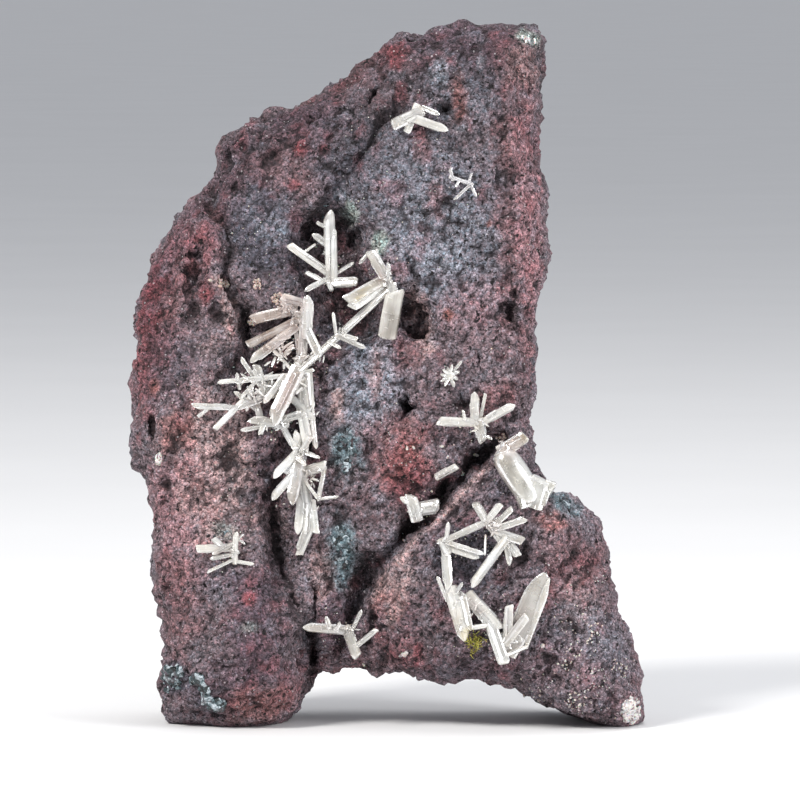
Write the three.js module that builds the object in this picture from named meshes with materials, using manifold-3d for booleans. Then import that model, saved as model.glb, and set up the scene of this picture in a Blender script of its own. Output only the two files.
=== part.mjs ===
// A cerussite specimen: pale bladed crystals and twinned stars of cerussite, grown on and in the hollows of
// a rough slab of iron-rich gossan that stands on two feet and leans back a little.
// Millimetres, +Z up, the crystal face looks along -Y, the origin is under the middle of the specimen.
//
// The slab is drawn on its own face: u runs right from its left end, v runs up from the stand, and depth
// runs back from the middle of the slab. The face then leans back by FACE_LEAN.
import * as THREE from "three";
import { mergeVertices } from "three/addons/utils/BufferGeometryUtils.js";
import Module from "manifold-3d";

// ---- driving dimensions ----
const FACE_LEAN = THREE.MathUtils.degToRad(4);
const STAND_DEPTH = -7; // depth at which the tilted face meets the stand at v = 0
const FRONT_DEPTH = -9; // mean crystal face
const BACK_DEPTH_FOOT = 15; // back face at the stand
const BACK_DEPTH_TOP = 8; // back face at the top
const SLAB_HEIGHT = 88;
const EDGE_ROUND = 5; // how softly the faces turn into the broken edge
const EDGE_FLARE = 1.6; // the broken edge stands this far out at mid depth
const MID_DEPTH = 1.5;
const STONE_CELL = 2.85; // size of the faces that the stone is drawn with
const CRYSTAL_GAP = 0.35; // clearance between the stone and what grows on it
const GROUND = 200; // size of the block that cuts the feet flat
const SPACE_LOW = [-4, -19, -5]; // the space in which the stone is drawn: u, depth, v
const SPACE_HIGH = [69, 21, 93];

const STONE_COLOUR = 0x5f4a4b;
const CRYSTAL_COLOUR = 0xd9d2c8;

// The broken edge of the slab, clockwise from the left foot, in (u, v).
const OUTLINE = [
  [4.6, 0.4], [3.8, 4.8], [3.5, 7.9], [4.0, 13.2], [3.3, 18.5], [3.0, 24], [3.0, 28.5], [2.4, 30.5],
  [0.5, 34.3], [0.2, 36.2], [0.9, 38.5], [0.9, 40.6], [0.1, 43], [0, 45.4], [1.2, 47.8], [1.0, 50.4],
  [1.6, 53.5], [3, 57.4], [5.1, 61.8], [7.1, 65.1], [8.9, 66], [9.2, 67.5], [10.9, 69.6], [11.2, 72.3],
  [13.2, 74.9], [15.6, 76.6], [19.5, 77.4], [20.1, 76.8], [21.4, 77.9], [25.2, 80.1], [28, 82.5],
  [29.4, 82.7], [31.4, 84.7], [33, 86.5], [34.4, 86.6], [35.3, 85.9], [37.5, 87.3], [40.8, 87.6],
  [42.8, 88], [43.7, 87.2], [44.7, 88], [50.4, 87.8], [52.2, 87], [52.8, 84.8], [52.5, 83], [51.6, 79.8],
  [51.6, 76.4], [51.7, 71], [52.6, 65.2], [52.6, 61.7], [52.1, 60], [52.5, 58], [51.2, 54.2], [50.6, 51],
  [51.4, 49.4], [51.1, 46], [50.6, 44.5], [51.1, 42.2], [50.6, 39.5], [50.8, 34.8], [51.2, 32.4],
  [53.3, 30], [57.2, 27.8], [58.8, 26.2], [59.5, 23.5], [60.9, 18.8], [61, 14.5], [62.6, 11],
  [63.8, 7.2], [64.4, 3.1], [64.2, -0.6], [61.4, -0.3], [59.6, 0.8], [54.6, 1.7], [51, 3.2], [47.8, 5.6],
  [42.8, 6], [39.6, 5.5], [34, 6.5], [29, 7.3], [25.2, 6.9], [24, 6.2], [23.4, 8], [22.6, 9.8],
  [21.9, 8.6], [21.9, 3.6], [19.6, 1.2], [15.2, 0.2], [12.2, 0], [9.6, 0.8],
];

// Broad swells (lift towards the viewer) and sinks (negative lift) of the crystal face: u, v, reach, lift.
const SWELLS = [
  [12, 12, 9, 13, 2.2], // the pillar of the left foot
  [8, 40, 8, 13, 1.6],
  [15, 66, 8, 8, 1.0],
  [40, 68, 9, 15, 1.3],
  [27.5, 36, 4.5, 9, 0.8],
  [46, 42, 6, 5, 0.6],
  [28, 13, 6, 6, -2.4], // the sunk foot of the middle
  [23, 30, 4, 9, -0.8],
];

// The lower right lobe stands proud of the slab along a slanting ledge.
const LEDGE_FROM = [31.8, 17.6];
const LEDGE_TO = [47.6, 36.2];
const LEDGE_LIFT = 2.6;
const LEDGE_WIDTH = 1.1;

// Hollows in the crystal face: u, v, depth of the middle below the mean face, half sizes across, up and in,
// turn.
const HOLLOWS = [
  [24.6, 60.0, 0.5, 4.8, 6.2, 5.2, 0], // behind the upper star
  [27.6, 52.6, 0.5, 4.6, 5.6, 4.6, 20],
  [35.6, 51.2, 1.5, 2.6, 3.4, 3.6, 0],
  [18.6, 45.6, 0, 5.4, 6.4, 4.0, -38], // under the long spray
  [21.4, 36.6, 0, 2.6, 5.6, 3.8, 0],
  [18.6, 24.6, -1.0, 1.7, 8.4, 5.4, 4], // the long upright groove
  [29.7, 18.8, 0.5, 2.1, 3.4, 4.6, -20],
  [23.1, 16.4, 0.5, 1.3, 2.8, 3.6, 8],
  [34.9, 39.8, 0, 1.6, 1.9, 3.2, 0],
  [43.8, 33.9, 0, 3.4, 1.8, 4.0, 35], // pockets along the ledge
  [36.4, 27.2, 0, 4.2, 1.9, 4.2, 45],
  [41.6, 40.6, -0.5, 2.2, 1.6, 2.6, 0],
  [43.2, 20.6, -2.6, 4.6, 4.4, 3.2, 0], // under the chain of twins
  [39.6, 75.8, -0.8, 2.2, 2.0, 2.8, 0],
  [23.6, 9.4, 0, 2.2, 1.7, 6.0, 0], // the cleft beside the left foot
];

// Flat breaks: a point (u, v, depth), and the outward direction (across, up, back).
const BREAKS = [
  [[47.6, 66, -9.6], [0.74, 0.05, -0.67]], // the pale bevel of the upper right edge
  [[10, 66, 9], [-0.62, 0.42, 0.66]],
  [[48, 85, 7.6], [0.35, 0.6, 0.72]],
  [[57, 20, 10], [0.72, 0.04, 0.69]],
  [[5, 25, 12], [-0.75, -0.1, 0.66]],
];
// The roughness of the whole surface: sizes of its lumps and pits, and how far they stand out or in.
const LUMPS = [[9, 1.0], [4.4, 0.7], [2.3, 0.75]];

const BEVEL_FOOT = 45; // the upper right bevel ends at this height

// Pads under the feet, which the stand cuts flat: u, v, depth, half sizes.
const FOOT_PADS = [
  [13, 2.6, 4, 7.4, 4.2, 10.5],
  [61.2, 2.4, 1.5, 2.9, 3.6, 9],
];

// ---- the stone ----

// A repeatable number from 0 to 1 for a whole-number place.
function scatter(i, j, k) {
  let h = (Math.imul(i, 374761393) + Math.imul(j, 668265263) + Math.imul(k, 2147483647 ^ 0x5bd1e995)) | 0;
  h = Math.imul(h ^ (h >>> 13), 1274126177);
  return ((h ^ (h >>> 16)) >>> 0) / 4294967296;
}

// Smooth noise from -1 to 1 with lumps about one unit across.
function lumps(x, y, z) {
  const [i, j, k] = [Math.floor(x), Math.floor(y), Math.floor(z)];
  const ease = (t) => t * t * (3 - 2 * t);
  const [a, b, c] = [ease(x - i), ease(y - j), ease(z - k)];
  const mix = THREE.MathUtils.lerp;
  const row = (dj, dk) => mix(scatter(i, j + dj, k + dk), scatter(i + 1, j + dj, k + dk), a);
  return mix(mix(row(0, 0), row(1, 0), b), mix(row(0, 1), row(1, 1), b), c) * 2 - 1;
}

// Larger and smaller of two distances with a fillet of about r where they meet.
const softMax = (a, b, r) => Math.max(a, b) + Math.max(r - Math.abs(a - b), 0) ** 2 / (4 * r);
const softMin = (a, b, r) => -softMax(-a, -b, r);

// Distance from (u, v) to the slab's broken edge, negative inside it.
function edgeDistance(u, v) {
  let nearest = Infinity;
  let inside = false;
  OUTLINE.forEach(([u1, v1], n) => {
    const [u2, v2] = OUTLINE[(n + 1) % OUTLINE.length];
    const [du, dv] = [u2 - u1, v2 - v1];
    const t = THREE.MathUtils.clamp(((u - u1) * du + (v - v1) * dv) / (du * du + dv * dv), 0, 1);
    nearest = Math.min(nearest, Math.hypot(u - u1 - du * t, v - v1 - dv * t));
    if (v1 > v !== v2 > v && u < u1 + (du * (v - v1)) / dv) inside = !inside;
  });
  return inside ? -nearest : nearest;
}

// Rough distance to an egg-shaped surface about the origin, negative inside it.
function eggDistance(x, y, z, a, b, c) {
  const reach = Math.hypot(x / a, y / b, z / c);
  const slope = Math.hypot(x / (a * a), y / (b * b), z / (c * c)) || 1;
  return (reach * (reach - 1)) / slope;
}

// Depth of the crystal face at (u, v), before its hollows.
function frontDepth(u, v) {
  let lift = 0;
  for (const [su, sv, across, up, height] of SWELLS)
    lift += height * Math.exp(-(((u - su) / across) ** 2) - ((v - sv) / up) ** 2);
  const [du, dv] = [LEDGE_TO[0] - LEDGE_FROM[0], LEDGE_TO[1] - LEDGE_FROM[1]];
  const right = ((u - LEDGE_FROM[0]) * dv - (v - LEDGE_FROM[1]) * du) / Math.hypot(du, dv);
  const along = ((u - LEDGE_FROM[0]) * du + (v - LEDGE_FROM[1]) * dv) / Math.hypot(du, dv);
  const low = THREE.MathUtils.smoothstep(along, -9, 2);
  lift += LEDGE_LIFT * low * THREE.MathUtils.smoothstep(right, -LEDGE_WIDTH, LEDGE_WIDTH);
  return FRONT_DEPTH - lift;
}

// Distance to the stone's surface, negative inside it.
function stoneDistance(u, depth, v) {
  const back = THREE.MathUtils.lerp(BACK_DEPTH_FOOT, BACK_DEPTH_TOP, v / SLAB_HEIGHT);
  const flare = EDGE_FLARE * (((depth - MID_DEPTH) / 11) ** 2 - 0.15);
  const edge = edgeDistance(u, v);
  let d = edge + Math.min(flare, 4);
  d = softMax(d, frontDepth(u, v) - depth, EDGE_ROUND);
  d = softMax(d, depth - back, EDGE_ROUND);
  BREAKS.forEach(([[pu, pv, pd], [nu, nv, nd]], n) => {
    const spare = n === 0 ? Math.max(0, BEVEL_FOOT - v) * 0.9 : 0;
    d = softMax(d, (u - pu) * nu + (v - pv) * nv + (depth - pd) * nd - spare, 1.5);
  });
  for (const [pu, pv, pd, a, b, c] of FOOT_PADS)
    d = softMin(d, eggDistance(u - pu, v - pv, depth - pd, a, b, c), 1.2);
  const calm = 0.35 + 0.65 * THREE.MathUtils.smoothstep(-edge, 0.5, 4); // the outline keeps its shape
  for (const [size, height] of LUMPS)
    d += calm * height * lumps(u / size, depth / size + size, v / size);
  for (const [hu, hv, hd, a, b, c, turn] of HOLLOWS) {
    const angle = THREE.MathUtils.degToRad(turn);
    const [x, z] = [u - hu, v - hv];
    const across = x * Math.cos(angle) + z * Math.sin(angle);
    const up = z * Math.cos(angle) - x * Math.sin(angle);
    d = softMax(d, -eggDistance(across, up, depth - FRONT_DEPTH - hd, a, b, c), 0.8);
  }
  return d;
}

// The eight corners and the twelve edges of a cell.
const CORNERS = [0, 1, 2, 3, 4, 5, 6, 7].map((c) => [c & 1, (c >> 1) & 1, c >> 2]);
const oneFurther = (corner, axis) => corner.map((x, a) => (a === axis ? 1 : x));
const CELL_EDGES = CORNERS.flatMap((corner) =>
  [0, 1, 2].filter((axis) => !corner[axis]).map((axis) => [corner, oneFurther(corner, axis)]));

// The closed surface on which `distance` is 0, drawn with one point in each cell that it crosses.
function closedSurface(distance, low, high, cell) {
  const [nx, ny, nz] = low.map((l, a) => Math.ceil((high[a] - l) / cell) + 1);
  const at = (i, j, k) => (k * ny + j) * nx + i;
  const inside = new Uint8Array(nx * ny * nz);
  const values = new Float32Array(nx * ny * nz).fill(cell);
  const place = (i, j, k) => [low[0] + i * cell, low[1] + j * cell, low[2] + k * cell];
  for (let k = 1; k < nz - 1; k++)
    for (let j = 1; j < ny - 1; j++)
      for (let i = 1; i < nx - 1; i++) {
        values[at(i, j, k)] = distance(...place(i, j, k));
        inside[at(i, j, k)] = values[at(i, j, k)] < 0 ? 1 : 0;
      }
  fillCheckerboards(inside, nx, ny, nz, at);

  const points = [];
  const pointOf = new Map();
  for (let k = 0; k < nz - 1; k++)
    for (let j = 0; j < ny - 1; j++)
      for (let i = 0; i < nx - 1; i++) {
        const crossings = CELL_EDGES.map(([[a, b, c], [d, e, f]]) => {
          const from = at(i + a, j + b, k + c);
          const to = at(i + d, j + e, k + f);
          if (inside[from] === inside[to]) return null;
          const share = values[from] / (values[from] - values[to]);
          const t = share > 0 && share < 1 ? THREE.MathUtils.clamp(share, 0.02, 0.98) : 0.5;
          return [a + (d - a) * t, b + (e - b) * t, c + (f - c) * t];
        }).filter(Boolean);
        if (crossings.length === 0) continue;
        const meanAlong = (axis) => crossings.reduce((sum, p) => sum + p[axis], 0) / crossings.length;
        const mean = [0, 1, 2].map(meanAlong);
        pointOf.set(at(i, j, k), points.length);
        points.push(settle(place(i + mean[0], j + mean[1], k + mean[2]), distance, cell * 0.3));
      }

  const faces = [];
  const quad = (a, b, c, d, flip) => {
    const q = [a, b, c, d].map(([i, j, k]) => pointOf.get(at(i, j, k)));
    const span = (m, n) => Math.hypot(...points[q[m]].map((x, axis) => x - points[q[n]][axis]));
    const halves = span(0, 2) <= span(1, 3) ? [[0, 1, 2], [0, 2, 3]] : [[0, 1, 3], [1, 2, 3]];
    for (const [m, n, o] of halves) faces.push(...(flip ? [q[m], q[o], q[n]] : [q[m], q[n], q[o]]));
  };
  for (let k = 1; k < nz - 1; k++)
    for (let j = 1; j < ny - 1; j++)
      for (let i = 1; i < nx - 1; i++) {
        const here = inside[at(i, j, k)];
        if (here !== inside[at(i + 1, j, k)])
          quad([i, j - 1, k - 1], [i, j, k - 1], [i, j, k], [i, j - 1, k], !here);
        if (here !== inside[at(i, j + 1, k)])
          quad([i - 1, j, k - 1], [i - 1, j, k], [i, j, k], [i, j, k - 1], !here);
        if (here !== inside[at(i, j, k + 1)])
          quad([i - 1, j - 1, k], [i, j - 1, k], [i, j, k], [i - 1, j, k], !here);
      }
  const surface = new THREE.BufferGeometry();
  surface.setAttribute("position", new THREE.Float32BufferAttribute(points.flat(), 3));
  surface.setIndex(faces);
  return surface;
}

// Fills one corner wherever filled corners meet only across a diagonal, so that the surface never touches
// itself.
function fillCheckerboards(inside, nx, ny, nz, at) {
  const planes = [[[1, 0, 0], [0, 1, 0]], [[0, 1, 0], [0, 0, 1]], [[1, 0, 0], [0, 0, 1]]];
  for (let changed = true; changed; ) {
    changed = false;
    for (let k = 1; k < nz - 2; k++)
      for (let j = 1; j < ny - 2; j++)
        for (let i = 1; i < nx - 2; i++) {
          for (const [[a, b, c], [d, e, f]] of planes) {
            const square = [at(i, j, k), at(i + a, j + b, k + c), at(i + a + d, j + b + e, k + c + f),
              at(i + d, j + e, k + f)];
            const [p, q, r, s] = square.map((n) => inside[n]);
            if (p !== r || q !== s || p === q) continue;
            inside[p ? square[1] : square[0]] = 1;
            changed = true;
          }
          for (const [a, b] of [[0, 0], [0, 1], [1, 0], [1, 1]]) {
            const near = at(i + a, j + b, k);
            const far = at(i + 1 - a, j + 1 - b, k + 1);
            const cube = CORNERS.map(([c, d, e]) => at(i + c, j + d, k + e));
            const rest = cube.filter((n) => n !== near && n !== far);
            if (inside[near] !== inside[far] || rest.some((n) => inside[n] === inside[near])) continue;
            inside[inside[near] ? rest[0] : near] = 1;
            changed = true;
          }
        }
  }
}

// Moves a point down the slope of `distance` to its surface, but no further than `reach` along each axis.
function settle(start, distance, reach) {
  let p = start;
  for (let step = 0; step < 3; step++) {
    const here = distance(...p);
    const beside = (axis) => distance(...p.map((x, a) => (a === axis ? x + 0.1 : x)));
    const slope = [0, 1, 2].map((axis) => (beside(axis) - here) / 0.1);
    const steepness = Math.max(slope[0] ** 2 + slope[1] ** 2 + slope[2] ** 2, 0.5);
    const moved = p.map((x, a) => x - (here * slope[a]) / steepness);
    p = moved.map((x, a) => THREE.MathUtils.clamp(x, start[a] - reach, start[a] + reach));
  }
  return p;
}

// The same surface moved outwards by `gap` at every point.
function grown(surface, gap) {
  const outer = surface.clone();
  outer.computeVertexNormals();
  const { position, normal } = outer.attributes;
  for (let n = 0; n < position.count; n++)
    position.setXYZ(n, position.getX(n) + gap * normal.getX(n), position.getY(n) + gap * normal.getY(n),
      position.getZ(n) + gap * normal.getZ(n));
  return outer;
}

// ---- the crystals ----

// How a blade's section grows along its length: [share of the length, share of the full section].
const PROFILES = {
  pointed: [[0, 0.85], [0.84, 1], [1, 0]],
  blunt: [[0, 0.9], [1, 0.9]],
  leaf: [[0, 0.35], [0.3, 0.82], [0.58, 1], [0.84, 0.62], [1, 0]],
};

// The sections of a broad and of a slender blade, with width and thickness 1.
const BROAD = [[0.5, 0], [0.27, 0.5], [-0.27, 0.5], [-0.5, 0], [-0.27, -0.5], [0.27, -0.5]];
const SLENDER = [[0.5, 0], [0, 0.5], [-0.5, 0], [0, -0.5]];
const BROAD_FROM = 0.95; // blades of this width and more have the six-sided section

// Each blade: root (u, v, height above the cluster's plane), tip (u, v, height), width, thickness, profile.
const CLUSTERS = {
  upper_twin: {
    plane: -10.2,
    blades: [
      [36.9, 77, 0.2, 33, 75.1, 1.2, 1.5, 0.8, "blunt"],
      [35.6, 76, 0.6, 40, 74.5, 0.9, 1.15, 0.6],
      [36.7, 77.4, 0.1, 38.9, 76.4, 1, 0.65, 0.45],
      [36.2, 77.8, 0, 34.8, 74.2, 0.3, 1, 0.6, "blunt"],
      [36.2, 76.2, 0.6, 36.4, 76.6, -3, 1.2, 1],
    ],
  },
  upper_sprig: {
    plane: -10.8,
    blades: [
      [40.1, 68.75, 0.3, 43.2, 67.7, 0.5, 0.5, 0.4],
      [40.6, 68.2, 0.2, 40.2, 69.9, 0.8, 0.45, 0.35],
      [42.9, 67.9, 0.3, 40.7, 65.8, 0.6, 0.42, 0.35],
      [42.7, 67.9, 0.3, 43.5, 66.2, 0.5, 0.42, 0.35],
      [42, 68.1, 0.3, 42, 68, -2.2, 0.6, 0.6],
    ],
  },
  upper_star: {
    plane: -7.8,
    blades: [
      [25.45, 55.3, 0.2, 25.15, 64.6, 2.6, 1.5, 1],
      [25.1, 62.3, 1.8, 23.6, 63.1, 2.1, 0.55, 0.45],
      [25.1, 60.2, 1.4, 23.1, 61.7, 1.8, 0.95, 0.5],
      [25.3, 56.7, 0.4, 20.2, 60.3, 2.2, 1.05, 0.7, "blunt"],
      [25.2, 56.2, 0.4, 22.1, 54.6, 1.8, 0.75, 0.5],
      [24.2, 55.9, 0.6, 22.3, 56.9, 1.6, 0.6, 0.4, "blunt"],
      [24.9, 55.6, 0.3, 28.7, 55.75, 1.6, 1.25, 0.8, "blunt"],
      [25, 56, 0.4, 25.5, 54.6, 1.4, 0.6, 0.5, "blunt"],
      [25.3, 56, 0.6, 25.6, 55.2, -5, 1.3, 1.1],
    ],
  },
  central_spray: {
    plane: -9.2,
    blades: [
      // the amber blades and the smoky stub at its upper end
      [32.3, 56.1, 0.6, 30.2, 59.5, 2, 1.3, 0.6, "blunt"],
      [32.2, 56.1, 0.3, 27.3, 53.3, 2.4, 1.5, 0.5, "blunt"],
      [31.9, 55.3, 0.1, 27.9, 52.4, 2, 1.3, 0.45, "blunt"],
      [32.4, 54.4, 0.2, 29.1, 51.3, 1.6, 0.6, 0.5, "blunt"],
      [32.4, 48.6, 0.4, 33.4, 54.6, 1.2, 2.4, 1.5, "blunt"],
      [32.4, 55.6, 0.8, 33.2, 55.4, -3.5, 1.4, 1.2],
      [33, 55.6, 0.5, 33.3, 53.4, 0.7, 1.2, 0.9, "blunt"],
      // the long diagonal and its side blades
      [33, 55.2, 0.3, 21.3, 44.3, 1.9, 0.85, 0.7],
      [26, 49.1, 1.6, 29.7, 47.4, 2.2, 0.7, 0.4],
      [26.5, 49.2, 1.2, 28.7, 48.5, 2.4, 0.6, 0.4, "blunt"],
      // upright pair and the blades that fan to the left
      [22.4, 48.6, 1.4, 22.75, 54, 3, 1.35, 0.9],
      [22.1, 50.6, 1.7, 24, 46.4, 1.6, 1.15, 0.9, "blunt"],
      [21.6, 51.1, 0.6, 15, 47.8, 1.5, 1.1, 0.6, "blunt"],
      [21.3, 50.2, 0.9, 15.3, 45.8, 1.8, 1.15, 0.55],
      [22.6, 52.9, 0.8, 19.3, 53.9, 1.2, 1, 0.6, "blunt"],
      [21.7, 51.2, 0.5, 19, 53.6, 1, 0.9, 0.6],
      [21.2, 52.6, 0.2, 19.6, 52.4, 0.9, 1.4, 0.9, "blunt"],
      [20.9, 52.2, -0.1, 15.6, 51, 0.8, 1.5, 1, "blunt"],
      // the level needle and what stands on it
      [20.5, 44.1, 1.1, 11.3, 43.2, 1.6, 0.65, 0.5],
      [15.9, 43.8, 1.1, 14.2, 46.3, 2, 0.6, 0.4],
      [17, 42.3, 1, 16.1, 45.4, 1.4, 1.1, 0.5, "blunt"],
      // the large rosy prism and the tangle to its left
      [21.5, 45.2, 1.4, 18, 38, 2.6, 2, 1.3],
      [19.7, 44.2, 1.4, 17.1, 40.6, 2.4, 0.8, 0.6],
      [13.8, 40, 1.5, 8.1, 40.35, 2.7, 0.75, 0.5],
      [14.6, 41, 1.1, 11, 37.4, 2.4, 0.8, 0.7, "blunt"],
      [17.2, 41.2, 0.8, 13.7, 40, 1.6, 0.8, 0.5],
      [20.2, 37.9, 0.6, 15.1, 38.6, 1.4, 1.1, 0.8],
      // below it, along the groove
      [22.6, 44.8, -0.3, 22.9, 40, 0.6, 1, 0.8, "blunt"],
      [20.6, 41.2, 0.6, 23.4, 38.5, 1.2, 1, 0.5],
      [23, 39.4, 0.9, 23.55, 34.9, 1.4, 0.7, 0.55],
      [21.7, 40.2, 0.5, 22.5, 35.8, 1.3, 1.4, 0.8, "blunt"],
      [18.9, 38.5, 0.7, 21.3, 34.5, 1.3, 0.75, 0.6],
      [21.3, 34.4, 0.5, 21.2, 37.2, 1.2, 1.1, 0.7],
      [21.6, 34.5, 1.1, 22.9, 36.4, 2, 0.8, 0.5, "blunt"],
      [21.3, 34.6, 1, 18.2, 31.4, 2.2, 1.05, 0.7],
      [21.2, 32.2, 1.2, 18, 28.7, 2.6, 1.05, 0.8],
      [21.5, 34.2, 0.6, 20.4, 28, 2.2, 1.6, 1.1],
      [21.6, 31.8, 0.2, 24.8, 32.9, 1, 1.35, 0.7, "blunt"],
      [24.7, 32.8, 0.8, 23.8, 28.4, 1.6, 0.6, 0.5],
      [21.8, 29.4, 0.2, 21.3, 24.3, 0.9, 1.2, 0.6],
      [23, 28.6, 0.1, 23.5, 24.4, 0.8, 1.1, 0.6, "blunt"],
      [23.2, 25.9, 0.5, 21.4, 21.7, 1, 0.9, 0.6, "blunt"],
      // the stems that carry it, and its roots
      [22.2, 52.8, 0.4, 21.6, 43.8, 0.9, 1.3, 1.3, "blunt"],
      [21.6, 45.6, 0.6, 22.4, 37.2, 0.4, 1.3, 1.3, "blunt"],
      [22.4, 38.6, 0.5, 21.5, 32.4, 0.5, 1.2, 1.2, "blunt"],
      [21.4, 33.8, 0.6, 22.8, 26.4, 0, 1.2, 1.2, "blunt"],
      [22, 42.6, 0.7, 16.8, 41.4, 0.9, 1.1, 0.9, "blunt"],
      [21.6, 46, 1, 21.6, 45, -5.5, 1.6, 1.4],
      [17.6, 41.8, 1, 17.6, 42, -5, 1.1, 1],
      [22.3, 37.8, 0.8, 23.2, 37.6, -5, 1.2, 1],
      [21.6, 33.2, 0.8, 22.2, 33, -5, 1.4, 1.2],
      [22.8, 27.4, 0.3, 23.4, 27.2, -4, 1.2, 1],
    ],
  },
  small_rosette: {
    plane: -9.9,
    blades: [
      [40.2, 44, -2.5, 40.2, 44, 1, 1.3, 1.2, "blunt"],
      [40.2, 44, 0.3, 41.7, 45.9, 0.9, 0.4, 0.35],
      [40.2, 44, 0.3, 41.25, 43.6, 0.9, 0.5, 0.4],
      [40.2, 44, 0.3, 40.8, 42.6, 0.9, 0.55, 0.4],
      [40.2, 44, 0.3, 39, 44.1, 0.9, 0.5, 0.4],
      [40.2, 44, 0.3, 39.9, 45.1, 0.9, 0.5, 0.4],
    ],
  },
  twin_star: {
    plane: -9.8,
    blades: [
      [43.6, 38.2, 0.6, 38.7, 38.4, 2, 1.2, 0.8, "blunt"],
      [43.3, 38.2, 0.6, 43.3, 42, 2.2, 1.15, 0.8],
      [44, 38.1, 0.5, 48.2, 40.5, 2.2, 1.05, 0.7],
      [43.7, 38.8, 0.7, 44.3, 35.8, 0.2, 1.3, 1, "blunt"],
      [43.9, 37.8, 0.7, 44.2, 37.2, -3.5, 1.3, 1.1],
    ],
  },
  ledge_blade: {
    plane: -9.6,
    blades: [
      [38.4, 31.3, 0, 41.1, 32.8, 0.9, 0.95, 0.6, "blunt"],
      [38.8, 31.6, 0.3, 38.8, 31.4, -3, 0.7, 0.6],
    ],
  },
  ledge_block: {
    plane: -9.2,
    blades: [
      [36.2, 25.9, 0.2, 35.3, 29.2, 1, 1.6, 1.1, "blunt"],
      [35.6, 28, 0.6, 34, 28.9, 1.2, 0.9, 0.6],
      [36.2, 27.4, 0.2, 38.9, 27.9, 0.8, 1.7, 1, "blunt"],
      [36, 27.4, 0.2, 36, 27.6, -6, 1.4, 1.2],
    ],
  },
  glassy_prism: {
    plane: -11.2,
    blades: [
      [46.6, 35, 0.4, 50.9, 28, 0.8, 3.3, 2.4, "blunt"],
      [49.6, 29.6, 0, 53, 30, 0.9, 2.4, 1.8, "blunt"],
      [46.4, 34.4, 0, 49.6, 36.5, 1, 1.1, 0.6],
      [48.2, 31.6, 0.6, 49.6, 27.6, 1.2, 1.6, 1.2, "blunt"],
      [46.8, 34.8, 0.4, 46.6, 35.9, 1.2, 0.6, 0.5],
      [48.6, 32, 0.4, 48.4, 32, -5, 2.2, 1.8],
    ],
  },
  lobe_chain: {
    plane: -12.1,
    blades: [
      // the fan and the rod
      [45.4, 26.2, 0.3, 39.2, 23.4, 0.8, 0.9, 0.7],
      [44.8, 25.8, 0.4, 43.3, 28.3, 1.6, 1.05, 0.7, "blunt"],
      [44.7, 25.8, 0.5, 46.5, 28.1, 2, 0.85, 0.6, "blunt"],
      [45.4, 25.2, 0.4, 47.9, 27.6, 1.6, 0.85, 0.6, "blunt"],
      [45.6, 24.9, 0.4, 49.7, 26.3, 1.5, 0.9, 0.6],
      [46, 24.6, 0.3, 49.3, 23.5, 1.2, 1.25, 0.7, "blunt"],
      [47.3, 24, 0.6, 42.8, 17.9, 2.2, 1.15, 0.9],
      [46.9, 24.2, 0.3, 47.7, 20.5, 1, 0.8, 0.6],
      [47, 24.2, 0.1, 48.6, 21.6, 0.8, 1.1, 0.6, "blunt"],
      [44.6, 26.4, 0.1, 47.1, 23.1, 0.6, 1.25, 0.9, "blunt"],
      [46.2, 25, 0.2, 46.2, 25, -4.5, 1.3, 1.1],
      // the left hub
      [39.6, 23.4, 0.6, 44.4, 21.9, 1.8, 0.62, 0.5],
      [39.5, 22.8, 0.2, 43.8, 21.4, 1.2, 0.85, 0.5],
      [39.5, 23.5, 0.1, 40.1, 17.4, 0.7, 1.1, 0.7],
      [39, 23.8, 0.2, 40, 21.8, 0.8, 1.1, 0.9, "blunt"],
      [39.6, 22.6, 0.3, 39.4, 22.6, -4, 1.1, 1],
      // the pale prisms that lead down to the large leaf
      [40.2, 17.9, 0.2, 42.2, 11.2, 1, 1.9, 1.2],
      [41.6, 16.8, 0.4, 42.6, 12.4, 1.2, 1.2, 0.9],
      [42.2, 17, 0.1, 46.2, 12.6, 0.8, 1.8, 1.2, "blunt"],
      [45, 13.9, 0.5, 46.9, 8.3, 1.6, 1.55, 1.1, "blunt"],
      [47.2, 10.2, 0.6, 47.5, 15.6, 1.8, 1.15, 0.7, "blunt"],
      [46.9, 10.6, 0.9, 49.7, 14.3, 2.2, 1.1, 0.7, "blunt"],
      [47.9, 9.4, 0.2, 52.3, 19.6, 1.6, 2.9, 0.9, "leaf"],
      [49.6, 10.2, 0.5, 52.5, 19, 2, 1, 0.8, "leaf"],
      [42.4, 12.7, 0.6, 44.9, 13.1, 1.2, 0.6, 0.5],
      [45.9, 11.4, 0.4, 49.2, 11.6, 0.6, 1.4, 1.1, "blunt"],
      [46.6, 11.4, 0.6, 46.6, 11.4, -4.5, 1.4, 1.2],
      [41.4, 14.6, 0.4, 41.4, 14.6, -4, 1.5, 1.2],
    ],
  },
  left_sprig: {
    plane: -10.6,
    blades: [
      [13.5, 20.6, 0.1, 13.65, 24.7, 1.4, 0.75, 0.5],
      [13.5, 21.9, 0.2, 10.4, 21.3, 1, 0.6, 0.4],
      [13.5, 23.3, 0.6, 10.7, 21.8, 1.2, 0.6, 0.4],
      [13.6, 22.7, 0.4, 8.7, 22.5, 0.8, 1.1, 0.5, "blunt"],
      [12.2, 22.5, 0.3, 10.8, 23.8, 0.9, 0.8, 0.5, "blunt"],
      [13.4, 21.6, 0.3, 13.4, 21.6, -3, 0.9, 0.8],
    ],
  },
  foot_twin: {
    plane: -7.7,
    blades: [
      [27.8, 12.3, 0.4, 21.9, 12.8, 1.6, 1.2, 0.7],
      [27.2, 12.9, 0.5, 28.7, 9, 1.4, 1.35, 0.8, "blunt"],
      [28.4, 10.2, 0.9, 31.1, 12.5, 2, 0.65, 0.5, "blunt"],
      [25.3, 12.3, 0.9, 24.8, 14.1, 2, 0.7, 0.5],
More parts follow.
